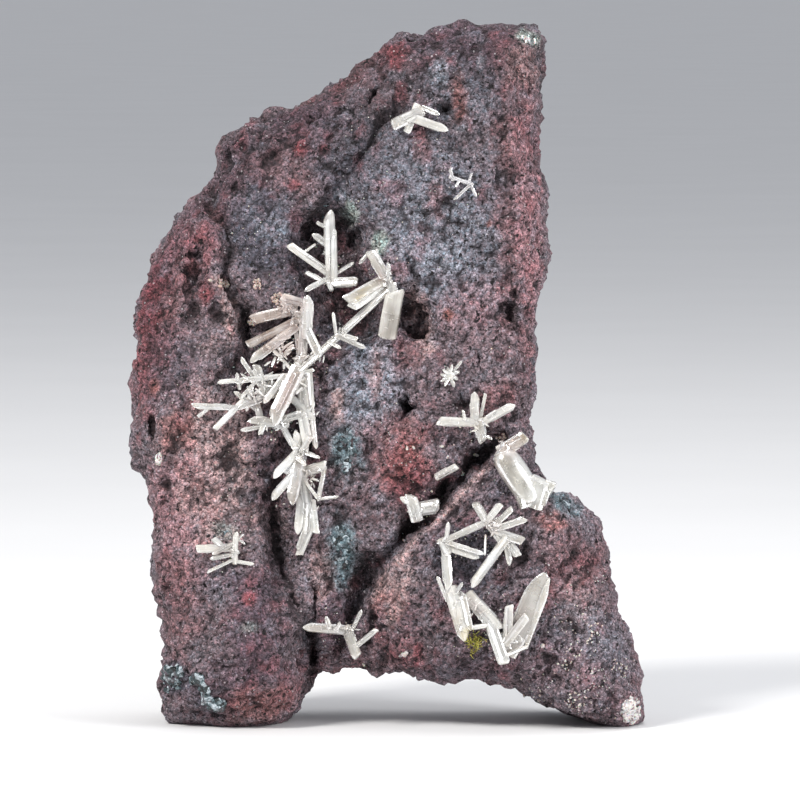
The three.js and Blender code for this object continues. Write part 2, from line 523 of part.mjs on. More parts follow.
      [25.9, 12.2, 0.9, 26.6, 13.4, 2, 0.55, 0.45],
      [27.7, 12, 0.6, 27.7, 12.4, -4.5, 1.2, 1],
    ],
  },
};

// One blade: a flattened prism from root to tip, its broad face turned to the viewer within `roll`.
function bladeGeometry([u0, v0, h0, u1, v1, h1, width, thickness, profile = "pointed"], plane, roll) {
  const root = new THREE.Vector3(u0, plane - h0, v0);
  const along = new THREE.Vector3(u1, plane - h1, v1).sub(root);
  const axis = along.clone().normalize();
  const viewer = Math.abs(axis.y) > 0.9 ? new THREE.Vector3(0, 0, 1) : new THREE.Vector3(0, -1, 0);
  const broad = new THREE.Vector3().crossVectors(axis, viewer).normalize().applyAxisAngle(axis, roll);
  const thin = new THREE.Vector3().crossVectors(axis, broad);
  const section = width < BROAD_FROM ? SLENDER : BROAD;
  const sides = section.length;
  const points = [];
  const faces = [];
  for (let n = 1; n < sides - 1; n++) faces.push([0, n + 1, n]);
  for (const [share, size] of PROFILES[profile]) {
    const first = points.length;
    const middle = root.clone().addScaledVector(along, share);
    if (size === 0) {
      points.push(middle);
      for (let n = 0; n < sides; n++)
        faces.push([first - sides + n, first - sides + ((n + 1) % sides), first]);
      continue;
    }
    for (const [b, t] of section) {
      const across = broad.clone().multiplyScalar(b * width * size);
      points.push(across.addScaledVector(thin, t * thickness * size).add(middle));
    }
    for (let n = 0; n < sides && first > 0; n++) {
      const m = (n + 1) % sides;
      const [below, belowNext] = [first - sides + n, first - sides + m];
      faces.push([below, belowNext, first + m], [below, first + m, first + n]);
    }
  }
  const top = points.length - sides;
  if (profile === "blunt") for (let n = 1; n < sides - 1; n++) faces.push([top, top + n, top + n + 1]);
  const blade = new THREE.BufferGeometry();
  blade.setAttribute("position", new THREE.Float32BufferAttribute(points.flatMap((p) => p.toArray()), 3));
  blade.setIndex(faces.flat());
  return blade;
}

// ---- putting the specimen together ----
const wasm = await Module();
wasm.setup();

// A closed mesh as a manifold-3d solid.
function solidOf(geometry) {
  const bare = geometry.clone();
  bare.deleteAttribute("normal");
  bare.deleteAttribute("uv");
  const merged = mergeVertices(bare, 1e-4);
  const mesh = new wasm.Mesh({
    numProp: 3,
    vertProperties: merged.attributes.position.array,
    triVerts: new Uint32Array(merged.index.array),
  });
  return new wasm.Manifold(mesh);
}

// The largest body of a solid: what a cut leaves loose is dropped.
const mainBody = (solid) => solid.decompose().sort((a, b) => b.volume() - a.volume())[0];

function meshOf(name, solid, material) {
  const { vertProperties, triVerts } = solid.getMesh();
  const geometry = new THREE.BufferGeometry();
  geometry.setAttribute("position", new THREE.BufferAttribute(vertProperties, 3));
  geometry.setIndex(new THREE.BufferAttribute(triVerts, 1));
  geometry.computeVertexNormals();
  const mesh = new THREE.Mesh(geometry, material);
  mesh.name = name;
  return mesh;
}

// Where a point of the slab goes in the part's frame: it leans back about the line where its face meets the
// stand.
const leaning = new THREE.Matrix4()
  .makeRotationX(-FACE_LEAN)
  .multiply(new THREE.Matrix4().makeTranslation(0, -STAND_DEPTH, 0));

const stoneSurface = closedSurface(stoneDistance, SPACE_LOW, SPACE_HIGH, STONE_CELL).applyMatrix4(leaning);
const ground = solidOf(new THREE.BoxGeometry(GROUND, GROUND, GROUND).translate(0, 0, -GROUND / 2));

const stone = mainBody(solidOf(stoneSurface).subtract(ground));
const keepOut = solidOf(grown(stoneSurface, CRYSTAL_GAP));

const stoneMaterial = new THREE.MeshStandardMaterial({ color: STONE_COLOUR, roughness: 0.95 });
const crystalMaterial = new THREE.MeshStandardMaterial({ color: CRYSTAL_COLOUR, roughness: 0.2 });

const specimen = new THREE.Group();
specimen.name = "cerussite_specimen";
specimen.add(meshOf("matrix", stone, stoneMaterial));
for (const [name, { plane, blades }] of Object.entries(CLUSTERS)) {
  const cluster = blades
    .map((blade, n) => {
      const roll = (scatter(n, Math.round(blade[0] * 10), Math.round(blade[1] * 10)) - 0.5) * 0.9;
      return solidOf(bladeGeometry(blade, plane, roll).applyMatrix4(leaning));
    })
    .reduce((joined, blade) => joined.add(blade));
  specimen.add(meshOf("cerussite_" + name, mainBody(cluster.subtract(keepOut)), crystalMaterial));
}

// The origin is under the middle of the whole specimen.
const middle = new THREE.Box3().setFromObject(specimen).getCenter(new THREE.Vector3());
specimen.position.set(-middle.x, -middle.y, 0);

export default specimen;
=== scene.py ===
# A cerussite specimen: pale bladed crystals and twinned stars on a rough slab of iron-rich gossan.
# Places on the slab are rows of (u, v, depth) in millimetres on its own face: u runs right from the left end,
# v runs up from the stand, and depth runs back. The face leans back by LEAN. The meshes are in metres.
import math
from itertools import product

import bpy
import numpy as np
from mathutils import Matrix, Vector
from mathutils.bvhtree import BVHTree


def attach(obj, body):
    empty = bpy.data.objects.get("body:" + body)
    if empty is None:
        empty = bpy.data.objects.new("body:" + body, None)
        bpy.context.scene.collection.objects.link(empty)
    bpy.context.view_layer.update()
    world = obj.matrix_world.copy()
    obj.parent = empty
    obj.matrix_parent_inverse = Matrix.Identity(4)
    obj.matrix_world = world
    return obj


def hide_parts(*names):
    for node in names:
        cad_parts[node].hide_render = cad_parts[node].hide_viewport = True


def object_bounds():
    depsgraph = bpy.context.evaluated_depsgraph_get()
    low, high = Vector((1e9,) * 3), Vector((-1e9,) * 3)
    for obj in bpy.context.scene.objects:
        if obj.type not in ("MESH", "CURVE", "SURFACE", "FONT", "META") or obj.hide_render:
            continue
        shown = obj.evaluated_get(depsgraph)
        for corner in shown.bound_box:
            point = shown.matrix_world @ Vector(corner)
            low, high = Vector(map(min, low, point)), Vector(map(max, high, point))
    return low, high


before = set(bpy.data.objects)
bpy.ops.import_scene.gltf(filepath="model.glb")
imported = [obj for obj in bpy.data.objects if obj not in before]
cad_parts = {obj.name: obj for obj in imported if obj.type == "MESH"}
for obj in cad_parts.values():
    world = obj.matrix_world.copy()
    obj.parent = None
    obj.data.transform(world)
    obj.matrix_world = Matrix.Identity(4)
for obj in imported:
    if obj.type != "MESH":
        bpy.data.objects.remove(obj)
cad_low, cad_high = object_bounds()

MM = 0.001
LEAN = math.radians(4)
STAND_DEPTH = -7
MIDDLE = (-32.201, -8.136)  # moves the slab's own corner to the middle of the specimen
VIEW_DEPTH = -40  # well in front of the whole specimen


# ---- places and patterns ----

def on_slab(points):
    """Places in metres of rows of (u, v, depth)."""
    p = np.atleast_2d(np.asarray(points, float))
    back = p[:, 2] - STAND_DEPTH
    x = p[:, 0] + MIDDLE[0]
    y = back * math.cos(LEAN) + p[:, 1] * math.sin(LEAN) + MIDDLE[1]
    z = -back * math.sin(LEAN) + p[:, 1] * math.cos(LEAN)
    return np.column_stack((x, y, z)) * MM


def slab_places(places):
    """The way back from on_slab: rows of (u, v, depth) of places in metres."""
    p = np.atleast_2d(np.asarray(places, float)) / MM
    y = p[:, 1] - MIDDLE[1]
    back = y * math.cos(LEAN) - p[:, 2] * math.sin(LEAN)
    v = y * math.sin(LEAN) + p[:, 2] * math.cos(LEAN)
    return np.column_stack((p[:, 0] - MIDDLE[0], v, back + STAND_DEPTH))


INWARD = Vector(on_slab([(0, 0, 1)])[0] - on_slab([(0, 0, 0)])[0]).normalized()


def lattice(i, j, k, seed):
    """A repeatable number from 0 to 1 for each whole-number place."""
    h = (i * 374761393 + j * 668265263 + k * 1440662683 + seed * 974634777) & 0xFFFFFFFF
    h = ((h ^ (h >> 13)) * 1274126177) & 0xFFFFFFFF
    h = ((h ^ (h >> 16)) * 2246822519) & 0xFFFFFFFF
    return ((h ^ (h >> 15)) & 0xFFFFFF) / float(0xFFFFFF)


def mottle(points, size, seed=0):
    """Smooth noise from -1 to 1 whose lumps are `size` across."""
    p = np.asarray(points, float) / size
    whole = np.floor(p).astype(np.int64)
    f = p - whole
    f = f * f * (3 - 2 * f)
    total = 0
    for a, b, c in product((0, 1), repeat=3):
        share = (f[:, 0] if a else 1 - f[:, 0]) * (f[:, 1] if b else 1 - f[:, 1])
        share = share * (f[:, 2] if c else 1 - f[:, 2])
        total = total + share * lattice(whole[:, 0] + a, whole[:, 1] + b, whole[:, 2] + c, seed)
    return total * 2 - 1


def layered(points, size, seed=0, layers=3):
    """Noise with finer and finer layers."""
    total, height, reach = 0, 1.0, 0
    for n in range(layers):
        total = total + height * mottle(points, size / 2 ** n, seed + n)
        reach += height
        height *= 0.55
    return total / reach


def smooth(low, high, value):
    """0 up to `low`, 1 from `high` on, and an even slope between them."""
    t = np.clip((value - low) / (high - low), 0, 1)
    return t * t * (3 - 2 * t)


def grain_numbers(points, size, seed):
    """A number from 0 to 1 for each point, the same for all points of one grain about `size` across."""
    p = np.asarray(points, float) / size
    whole = np.floor(p).astype(np.int64)
    nearest = np.full(len(p), 9.0)
    own = np.zeros(len(p))
    for step in product((-1, 0, 1), repeat=3):
        cell = whole + step
        i, j, k = cell.T
        seat = np.column_stack([lattice(i, j, k, seed + n) for n in (11, 12, 13)])
        away = np.linalg.norm(cell + seat - p, axis=1)
        closer = away < nearest
        nearest = np.where(closer, away, nearest)
        own = np.where(closer, lattice(i, j, k, seed + 14), own)
    return own


def oval(slab, u, v, across, up, turn):
    """How far each point lies from the middle of a turned oval whose edge is at 1."""
    angle = math.radians(turn)
    x, z = slab[:, 0] - u, slab[:, 1] - v
    a = (x * math.cos(angle) + z * math.sin(angle)) / across
    b = (z * math.cos(angle) - x * math.sin(angle)) / up
    return np.hypot(a, b)


def tone(red, green, blue):
    """A screen colour from 0 to 255 as the renderer's own numbers."""
    return tuple((c / 255 / 12.92) if c < 10.3 else ((c / 255 + 0.055) / 1.055) ** 2.4 for c in (red, green, blue))


def painted(colour, paint, share):
    """The colours with a share of paint laid over each."""
    share = np.reshape(share, (-1, 1))
    return colour * (1 - share) + np.asarray(paint) * share


def patchwork(slab, base, patches, ragged, seed, crumble=0.0):
    """Colours of points on the slab: `base`, with ragged oval patches (u, v, across, up, turn, colour, share)."""
    colour = np.tile(np.asarray(base, float), (len(slab), 1))
    crumbs = crumble * layered(slab, 0.9, seed - 1, 2)
    for n, (u, v, across, up, turn, paint, share) in enumerate(patches):
        edge = oval(slab, u, v, across, up, turn) + crumbs
        near = np.nonzero(edge < 1.3 + ragged)[0]
        edge = edge[near] + ragged * layered(slab[near], max(min(across, up) * 0.8, 1.2), seed + n)
        colour[near] = painted(colour[near], paint, smooth(1.25, 0.45, edge) * share)
    return colour


# ---- small tools ----

def work_on(ob):
    bpy.ops.object.select_all(action="DESELECT")
    bpy.context.view_layer.objects.active = ob
    ob.select_set(True)


def switch(mode):
    bpy.ops.object.mode_set(mode=mode)


def link(name, mesh):
    ob = bpy.data.objects.new(name, mesh)
    bpy.context.scene.collection.objects.link(ob)
    return ob


def apply_modifier(ob, kind, **settings):
    work_on(ob)
    modifier = ob.modifiers.new(kind.lower(), kind)
    for name, value in settings.items():
        setattr(modifier, name, value)
    bpy.ops.object.modifier_apply(modifier=modifier.name)


def remesh(ob, voxel, softer=0):
    """An even mesh of faces about `voxel` millimetres wide, then softened a few times."""
    apply_modifier(ob, "REMESH", mode="VOXEL", voxel_size=voxel * MM, adaptivity=0)
    if softer:
        apply_modifier(ob, "SMOOTH", factor=0.5, iterations=softer)


def shade_smooth(mesh):
    mesh.polygons.foreach_set("use_smooth", np.ones(len(mesh.polygons), bool))


def read(items, name, width=3, kind=float):
    """Rows of the numbers that each point, edge, face or corner of a mesh has under a name."""
    values = np.empty(len(items) * width, dtype=kind)
    items.foreach_get(name, values)
    return values.reshape(-1, width)


def points_of(mesh):
    return read(mesh.vertices, "co")


def normals_of(mesh):
    return read(mesh.vertices, "normal")


def move_points(mesh, places):
    mesh.vertices.foreach_set("co", np.ascontiguousarray(places).ravel())
    mesh.update()


def paint_points(mesh, name, colours):
    layer = mesh.color_attributes.new(name, "FLOAT_COLOR", "POINT")
    layer.data.foreach_set("color", np.column_stack((colours, np.ones(len(colours)))).ravel())


def mark_points(mesh, name, values):
    layer = mesh.attributes.new(name, "FLOAT", "POINT")
    layer.data.foreach_set("value", np.asarray(values, float))


def evened(mesh, places, rounds):
    """The points moved to the middle of their neighbours, `rounds` times."""
    pairs = read(mesh.edges, "vertices", 2, np.int64)
    a, b = pairs[:, 0], pairs[:, 1]
    count = np.bincount(pairs.ravel(), minlength=len(places))[:, None]
    for _ in range(rounds):
        total = np.column_stack([
            np.bincount(a, places[b, n], len(places)) + np.bincount(b, places[a, n], len(places)) for n in range(3)])
        places = total / np.maximum(count, 1)
    return places


def join_pieces(name, parts):
    bpy.ops.object.select_all(action="DESELECT")
    for part in parts:
        part.select_set(True)
    bpy.context.view_layer.objects.active = parts[0]
    bpy.ops.object.join()
    piece = bpy.context.object
    piece.name = name
    piece.data.name = name
    return piece


def dress(piece, finish, slot, *nodes):
    """The piece's finish, and what the frame has to know about it."""
    piece.data.materials.clear()
    piece.data.materials.append(finish)
    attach(piece, "root")
    if nodes:
        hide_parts(*nodes)


# ---- the gossan ----

# Cracks and small holes pressed into the face: u, v, half width, half height, turn, depth.
CRACKS = [
    (23.1, 10.4, 0.9, 3.4, 0, 3.6), (23.4, 16, 0.7, 2, 10, 2.2), (34.9, 39.8, 1.1, 1.5, 10, 3.4),
    (34.2, 38.7, 0.7, 0.7, 0, 2), (36.1, 40.2, 0.7, 0.5, 0, 1.6), (47.9, 52.6, 0.4, 1.9, -8, 1.6),
    (15, 50, 0.7, 2.6, -6, 2.2), (9, 55.8, 0.6, 2.2, 8, 1.2), (3.3, 37.4, 0.5, 1.8, 0, 1.8),
    (18.2, 27.6, 1.2, 3.8, 4, 1.2), (18.8, 20.6, 1, 3.4, 6, 0.9), (28.4, 60.6, 0.9, 2.2, -12, 1.8),
    (22.2, 62.2, 1.6, 2.2, 10, 1.6), (26.8, 63.2, 1.8, 1, 0, 1.2), (35.4, 57.4, 0.6, 1.6, 20, 1.2),
    (43.6, 33.7, 2.2, 0.7, 42, 2.2), (39.5, 30.4, 1.5, 0.6, 47, 1.8), (35, 24.9, 2.6, 0.9, 45, 1.5),
    (29.6, 19.8, 1, 2.2, -30, 1.5), (39.4, 77.2, 1.1, 1.3, 0, 1.8), (25, 17.6, 0.6, 1.4, -20, 1.2),
    (30.4, 14.8, 0.9, 1.6, 0, 1.4), (43.9, 45.6, 0.4, 1.5, 15, 1), (30.6, 79, 0.6, 1.2, -30, 1),
    (23, 75.6, 0.8, 1, 0, 1.2), (28.6, 69.8, 0.6, 1.4, 0, 1.2), (13.6, 67.5, 0.5, 1.6, 40, 1),
    (9.2, 1.9, 3, 0.45, -4, 0.8), (20.6, 15.4, 0.7, 2.6, 14, 1.2), (44.6, 87, 0.5, 1.2, 0, 1.2),
    (51, 71, 0.4, 1.6, 10, 0.8),
]

# Low ridges and knobs that stand out of the face, in the same order; the last number is how far they stand out.
RIDGES = [
    (5.2, 47, 1.6, 5, 0, 0.7), (4.6, 38, 1.4, 3.4, 0, 0.6), (8.6, 61.4, 1.5, 3.6, -28, 0.7),
    (16.2, 72.4, 3.6, 1.4, 24, 0.6), (28.6, 79.2, 3.2, 1.6, 30, 0.8), (33.4, 81.8, 1.8, 2.4, 0, 0.8),
    (13.4, 56.2, 1.2, 3.6, 0, 0.6), (30.3, 44, 2.4, 5, 10, 0.5), (35.4, 50.2, 1.4, 2.6, -12, 0.7),
    (41, 50.6, 2.4, 1.6, 20, 0.5), (14.8, 30.6, 1.6, 4.2, 4, 0.6), (13.4, 14, 3.2, 5.4, 0, 0.5),
    (52, 22.8, 3.4, 1.6, -50, 0.6), (33.6, 10.4, 2.2, 2.8, 0, 0.5),
]

MAUVE = tone(110, 96, 101)
PLUM = tone(88, 70, 78)
BRICK = tone(128, 66, 70)
RUST = tone(120, 84, 86)
GARNET = tone(88, 44, 52)
EMBER = tone(150, 90, 80)
STEEL = tone(112, 112, 121)
FROST = tone(144, 148, 158)
SLATE = tone(84, 81, 90)
BEIGE = tone(160, 134, 132)
ROSE = tone(150, 112, 116)
# painted shade: the near-black brown laid into hollows, cracks and along the foot of ledges
PAINTED_SHADE = tone(34, 27, 30)
TEAL = tone(106, 122, 128)
SAGE = tone(144, 154, 148)

# Where the gossan changes colour: u, v, half width, half height, turn, colour, share.
TINTS = [
    # the broad fields
    (42, 84, 14, 6, 10, PLUM, 0.95), (22, 76, 9, 5, 28, PLUM, 0.95), (34, 84, 8, 4, 20, PLUM, 0.6),
    (12, 70, 5, 5, 40, PLUM, 0.7), (20, 70, 9, 5, 20, RUST, 0.45), (30, 82, 6, 4, 20, RUST, 0.5),
    (33, 76, 7, 7, 0, MAUVE, 0.5), (10, 64, 3.6, 5, -20, PLUM, 0.5), (6, 56, 3, 9, -20, RUST, 0.6),
    (2.4, 50, 2.8, 12, -4, BRICK, 0.65), (4.6, 60, 3, 8, -24, BRICK, 0.4), (8, 56, 4, 9, -10, RUST, 0.4),
    (5, 60, 3.4, 8, -24, PLUM, 0.5), (13, 67, 6, 6, 30, PLUM, 0.5), (9.6, 59, 1.9, 7.6, -8, BRICK, 0.42),
    (11.2, 64, 1, 2.6, 10, RUST, 0.6), (9.5, 50, 3.2, 8, 0, MAUVE, 0.6), (17, 61, 5.2, 7, 10, SLATE, 0.95),
    (15, 57, 6, 9, 10, PAINTED_SHADE, 0.12), (33, 68, 9, 8, 0, STEEL, 0.6), (41, 62, 8.4, 13, 5, STEEL, 0.8),
    (38, 63, 6, 9, 5, FROST, 0.2), (42, 79, 7, 5, 0, STEEL, 0.5), (27, 71, 5, 5, 0, SLATE, 0.6),
    (47.2, 66, 1.8, 17, 2, RUST, 0.6), (50, 66, 2.1, 19, 2, ROSE, 0.9), (49.6, 83, 3.6, 3.4, 0, RUST, 0.6),
    (49.8, 83, 3, 3, 0, BEIGE, 0.4), (50.2, 48, 1.8, 6, 0, RUST, 0.6), (44, 52, 5, 4.6, 0, ROSE, 0.4),
    (29.5, 42.5, 4.8, 8.5, 10, STEEL, 0.95), (30.4, 39, 3.6, 8, 10, FROST, 0.3), (31.5, 43, 3.4, 6, 0, FROST, 0.5),
    (29, 47, 1.4, 1.8, 0, FROST, 0.4), (34.6, 32.4, 3.6, 5.4, 0, BRICK, 0.7), (33.4, 34.6, 4.4, 5, 0, EMBER, 0.3),
    (32, 37, 3.4, 3.4, 0, RUST, 0.6), (46, 41, 3.4, 2.6, 30, RUST, 0.7), (43.5, 48.5, 4.6, 4.6, 0, MAUVE, 0.5),
    (12, 34, 8, 12, 0, BEIGE, 0.7), (5, 46, 3.4, 5, 0, PLUM, 0.55), (7, 25, 4.4, 10, 0, ROSE, 0.7),
    (9, 28, 3, 6, 10, BEIGE, 0.5), (13, 44, 3.4, 3.6, 0, SLATE, 0.5), (17, 34, 2.4, 9, 0, PLUM, 0.7),
    (6, 14, 3.2, 8, 0, RUST, 0.55), (16, 13, 4.6, 9, 0, PLUM, 0.95), (12, 19, 3, 3, 0, SLATE, 0.4),
    (33.2, 16.5, 2.2, 5.2, -18, BEIGE, 0.75), (34, 20.6, 3, 0.8, 48, BEIGE, 0.5), (43, 30.2, 4, 0.6, 46, BEIGE, 0.25),
    (43, 21, 4.6, 4.6, 0, SLATE, 0.85), (47, 30, 2.6, 3.2, 0, SLATE, 0.6), (55, 20, 5, 5.5, -40, RUST, 0.5),
    (57, 9, 7, 7, 0, STEEL, 0.6), (56, 7, 5, 4, -20, ROSE, 0.35), (56, 15, 3, 4, -30, BEIGE, 0.25),
    (51, 7, 6, 3, -20, MAUVE, 0.5), (42, 7.4, 7, 3.2, 0, PLUM, 0.6), (33, 9.6, 4, 3, 0, RUST, 0.6),
    (26, 14, 3.2, 5.4, 0, PLUM, 0.8), (13, 4.6, 9, 3.4, 0, PLUM, 0.6),
    # the small spots
    (21.5, 72.2, 1.2, 1, 0, BRICK, 0.9), (24.6, 72.2, 0.8, 0.7, 0, BRICK, 0.8),
    (33.6, 84.2, 1.4, 2.4, 0, BRICK, 0.75), (34, 79.1, 1, 1.6, 0, BRICK, 0.6), (20.9, 67.8, 0.8, 0.8, 0, BRICK, 0.6),
    (41.4, 78.6, 1.1, 3.2, 4, EMBER, 0.6), (40, 51.6, 0.6, 0.8, 0, EMBER, 0.8), (45.1, 62.9, 0.4, 0.4, 0, EMBER, 0.8),
    (38.5, 66, 1.4, 3.4, 0, RUST, 0.6), (36.8, 72.2, 1.4, 2, 0, RUST, 0.6), (9.8, 54.6, 1, 1.4, 0, BRICK, 0.7),
    (5.8, 37, 2.2, 2.6, 0, EMBER, 0.4), (16.5, 3.2, 5, 2.4, 6, EMBER, 0.4), (3.4, 42.6, 0.8, 1, 0, EMBER, 0.5),
    (15.4, 16.4, 0.9, 0.9, 0, BRICK, 0.7), (19.5, 4.4, 2.2, 1.4, 10, RUST, 0.8), (52.9, 26, 2, 1.4, 0, EMBER, 0.5),
    (31.4, 15.6, 0.9, 2, 0, EMBER, 0.45), (2.6, 54, 2.6, 6.4, -12, GARNET, 0.45),
    (33.8, 13.4, 3.2, 4.4, 0, GARNET, 0.3), (36.2, 9.6, 0.8, 1.6, 0, BRICK, 0.6), (39, 81.6, 1.3, 2, 0, FROST, 0.7),
    (44, 83, 0.6, 1.3, 0, FROST, 0.6), (43.9, 67.8, 0.6, 0.6, 0, FROST, 0.85), (42, 75.2, 0.5, 0.8, 0, FROST, 0.6),
    (37.4, 58.4, 2, 1.4, 0, FROST, 0.35), (40.6, 59, 1.6, 1.8, 0, FROST, 0.4), (18.4, 62, 2.6, 1.8, 0, FROST, 0.3),
    (24.4, 59.4, 0.7, 0.9, 0, FROST, 0.4), (26.4, 66.6, 1, 0.8, 0, FROST, 0.7), (27.9, 64.1, 1.2, 1.9, 0, SAGE, 0.9),
    (31.5, 60.4, 1.2, 2, 0, SAGE, 0.95), (27, 34.6, 2.2, 4, 0, TEAL, 0.95), (26.2, 40.2, 0.9, 2.4, 0, BEIGE, 0.8),
    (29.5, 33.6, 0.8, 1.6, 0, TEAL, 0.6), (26.8, 21.8, 2.3, 4.6, 0, TEAL, 0.95), (50.4, 86.2, 2.2, 1, -12, SAGE, 0.9),
    (62.9, 2.2, 1.6, 2.2, 0, ROSE, 0.7), (24.2, 20, 1.6, 4, 0, BEIGE, 0.55), (54.6, 28, 2.4, 1.3, -30, TEAL, 0.85),
    (12, 24.6, 1.8, 1.4, 0, SAGE, 0.4), (15.4, 12.8, 1.2, 0.8, 0, SAGE, 0.35), (5.8, 6.3, 2, 2.4, 0, SLATE, 0.8),
    (10.6, 3.8, 2.4, 2.4, 0, SLATE, 0.6), (12.8, 51.5, 1, 3.6, 8, BEIGE, 0.75), (11.5, 56, 1, 0.9, 0, BEIGE, 0.8),
    (31, 44, 0.9, 3, 0, BEIGE, 0.55), (36.4, 50.6, 1.6, 4.4, 8, BEIGE, 0.9), (35, 46.6, 2.2, 2.8, 0, RUST, 0.6),
    (33.6, 15.4, 1.2, 2.2, -18, BEIGE, 0.6),
    # painted shade: the dark insides of the hollows, cracks and clefts
    (24.8, 60.4, 3.4, 5.4, 0, PAINTED_SHADE, 0.9), (28, 52.6, 3.4, 4.2, 20, PAINTED_SHADE, 0.85), (19, 45.6, 4.2, 5.2, -38, PAINTED_SHADE, 0.65),
    (21.4, 36, 1.8, 5, 0, PAINTED_SHADE, 0.6), (18.6, 24.4, 1.5, 8.6, 4, PAINTED_SHADE, 0.5), (21, 15, 1.2, 4, 14, PAINTED_SHADE, 0.4),
    (23, 9.6, 1.7, 4.4, 0, PAINTED_SHADE, 0.9), (14.6, 50.6, 0.8, 2.8, -6, PAINTED_SHADE, 0.85), (39.4, 76.9, 1.2, 1.5, 0, PAINTED_SHADE, 0.9),
    (43.6, 33.8, 2.6, 1, 42, PAINTED_SHADE, 0.95), (39.5, 30.5, 1.8, 0.8, 47, PAINTED_SHADE, 0.9), (35, 25, 3, 1.1, 45, PAINTED_SHADE, 0.8),
    (41.6, 40.4, 1.7, 1.1, 0, PAINTED_SHADE, 0.6), (29.4, 19.8, 1.5, 3.2, -30, PAINTED_SHADE, 0.85), (35, 53, 1, 2, 0, PAINTED_SHADE, 0.7),
]

# Broken ledges of the face, each with its raised side on the right of the way from point to point:
# how high it stands, how far it reaches to each side, its lip, the trench at its foot, and its points.
LEDGES = [
    (2.4, 2, 1, 2.3, [(26, 8), (28.6, 12.8), (31.3, 18.3), (35, 23.2), (40.1, 28), (44.1, 32.5), (47.8, 36)]),
    (1.7, 2.2, 0.8, 1.4, [(9, 69), (9.8, 64), (11.8, 61), (11.4, 56.4), (13.1, 52.4), (14.4, 47.6)]),
    (1.8, 2.8, 0.5, 0.6, [(34, 80), (30.6, 75.4), (29, 72.6), (25.8, 68.4), (23.8, 65.6), (21.4, 62.4)]),
    (1.4, 2.8, 0.3, 0.2, [(16.6, 33), (17.3, 28), (17.4, 23.6), (19, 18.6), (21.6, 14), (22.2, 8.6)]),
    (1.3, 1.6, 0.5, 1.3, [(7, 63), (8, 60), (6.9, 56), (7.6, 50.4)]),
    (1.2, 2.4, 0.5, 0.2, [(46.9, 44), (48.4, 56), (48, 66), (47.3, 76), (46.6, 84)]),
    (1, 2, 0.3, 0.4, [(17.6, 76.8), (14.4, 72.6), (11.6, 71), (9.2, 72.2)]),
    (0.9, 1.8, 0.3, 0.4, [(6.6, 40.6), (5.6, 36.8), (4.4, 32.4), (4.6, 26)]),
    (1, 2.2, 0.3, 0.3, [(30, 52.2), (34, 53.6), (37.8, 54.4), (40.8, 51), (41.6, 46.2)]),
    (0.9, 2.2, 0.2, 0.3, [(52.8, 14), (50, 18), (50.4, 23.6), (53.6, 26.4)]),
]

LIP_PLACE, LIP_WIDTH = 0.4, 0.45
TRENCH_PLACE, TRENCH_WIDTH = 1.1, 0.8

# Places where the outline is drawn out or in a little: u, v, reach, and how far it moves along u and v.
NUDGES = [(50.5, 85.5, 3.0, 0.5, 1.1), (3.5, 7.0, 7.5, 0.55, 0.0)]

# The relief of the skin: name, pattern, lump size and height in millimetres, the grey that stays in place,
# the weights it follows, the grey ramp of its pattern if it has one, and the pattern's settings.
RELIEFS = [
    ("back_hollows", "CLOUDS", 8.0, 3.0, 0.75, "behind", None, {"noise_depth": 2}),
    ("swells", "CLOUDS", 5.0, 1.8, 0.5, "loose", None, {"noise_depth": 1}),
    ("folds", "CLOUDS", 3.0, -1.5, 0.28, "broken", None, {"noise_type": "HARD_NOISE", "noise_depth": 2}),
    ("ragged", "CLOUDS", 2.4, 1.7, 0.5, "rim", None, {"noise_depth": 3}),
    ("crags", "CLOUDS", 1.4, 0.8, 0.4, "loose", None, {"noise_type": "HARD_NOISE", "noise_depth": 3}),
    ("crumbs", "VORONOI", 2.6, 0.3, 1.0, "broken", ((0.0, 0.0), (0.2, 1.0)), {"weight_1": -1, "weight_2": 1}),
    ("pits", "VORONOI", 1.2, 0.5, 1.0, "pitted", ((0.08, 0.0), (0.34, 1.0)), {}),
    ("pores", "CLOUDS", 0.6, 0.26, 0.5, "loose", None, {"noise_depth": 1}),
]

FIRST_VOXEL, SECOND_VOXEL = 0.6, 0.64
SKIN_LIFT = 0.2  # makes up for what the pits and pores take away
ROOM = np.array((0.0014, 0.0006, 0.0014))  # how far the skin may stand out of the CAD box, each way, in metres
WEIGHT_STEPS = 20
# How deep a point has to lie below its surroundings to count as a pit in full, in millimetres, and how many
# times the surroundings are evened to find out: for small pits and for wide ones.
SMALL_PIT, SMALL_ROUNDS = 0.10, 3
WIDE_PIT, WIDE_ROUNDS = 0.45, 26
MARK_REACH = 8  # a crack's or ridge's ragged edge never lies farther from its middle than this


def pressed(slab, facing, marks, ragged):
    """How deep oval marks are pressed into the face at each point."""
    depth = np.zeros(len(slab))
    for n, (*shape, deep) in enumerate(marks):
        near = np.abs(slab[:, :2] - shape[:2]).max(axis=1) < MARK_REACH
        edge = oval(slab, *shape)
        edge[near] += ragged * layered(slab[near], 1.1, 70 + n, 3)
        depth += deep * smooth(1.45, 0.1, edge)
    return depth * smooth(0.15, 0.6, facing) * smooth(-2.0, -4.5, slab[:, 2])


def cracks_and_ridges(slab, facing):
    return pressed(slab, facing, CRACKS, 0.6) - pressed(slab, facing, RIDGES, 0.5)


def along_path(slab, path):
    """How far each point lies to the right of a path on the face, and how far along it; and the path's length."""
    nearest = np.full(len(slab), 99.0)
    right, along = np.full(len(slab), 99.0), np.zeros(len(slab))
    done = 0
    for (u0, v0), (u1, v1) in zip(path, path[1:]):
        du, dv = u1 - u0, v1 - v0
        length = math.hypot(du, dv)
        x, z = slab[:, 0] - u0, slab[:, 1] - v0
        step = np.clip((x * du + z * dv) / length, 0, length)
        away = np.hypot(x - step * du / length, z - step * dv / length)
        closer = away < nearest
        nearest = np.where(closer, away, nearest)
        right = np.where(closer, np.copysign(away, x * dv - z * du), right)
        along = np.where(closer, done + step, along)
        done += length
    return right, along, done


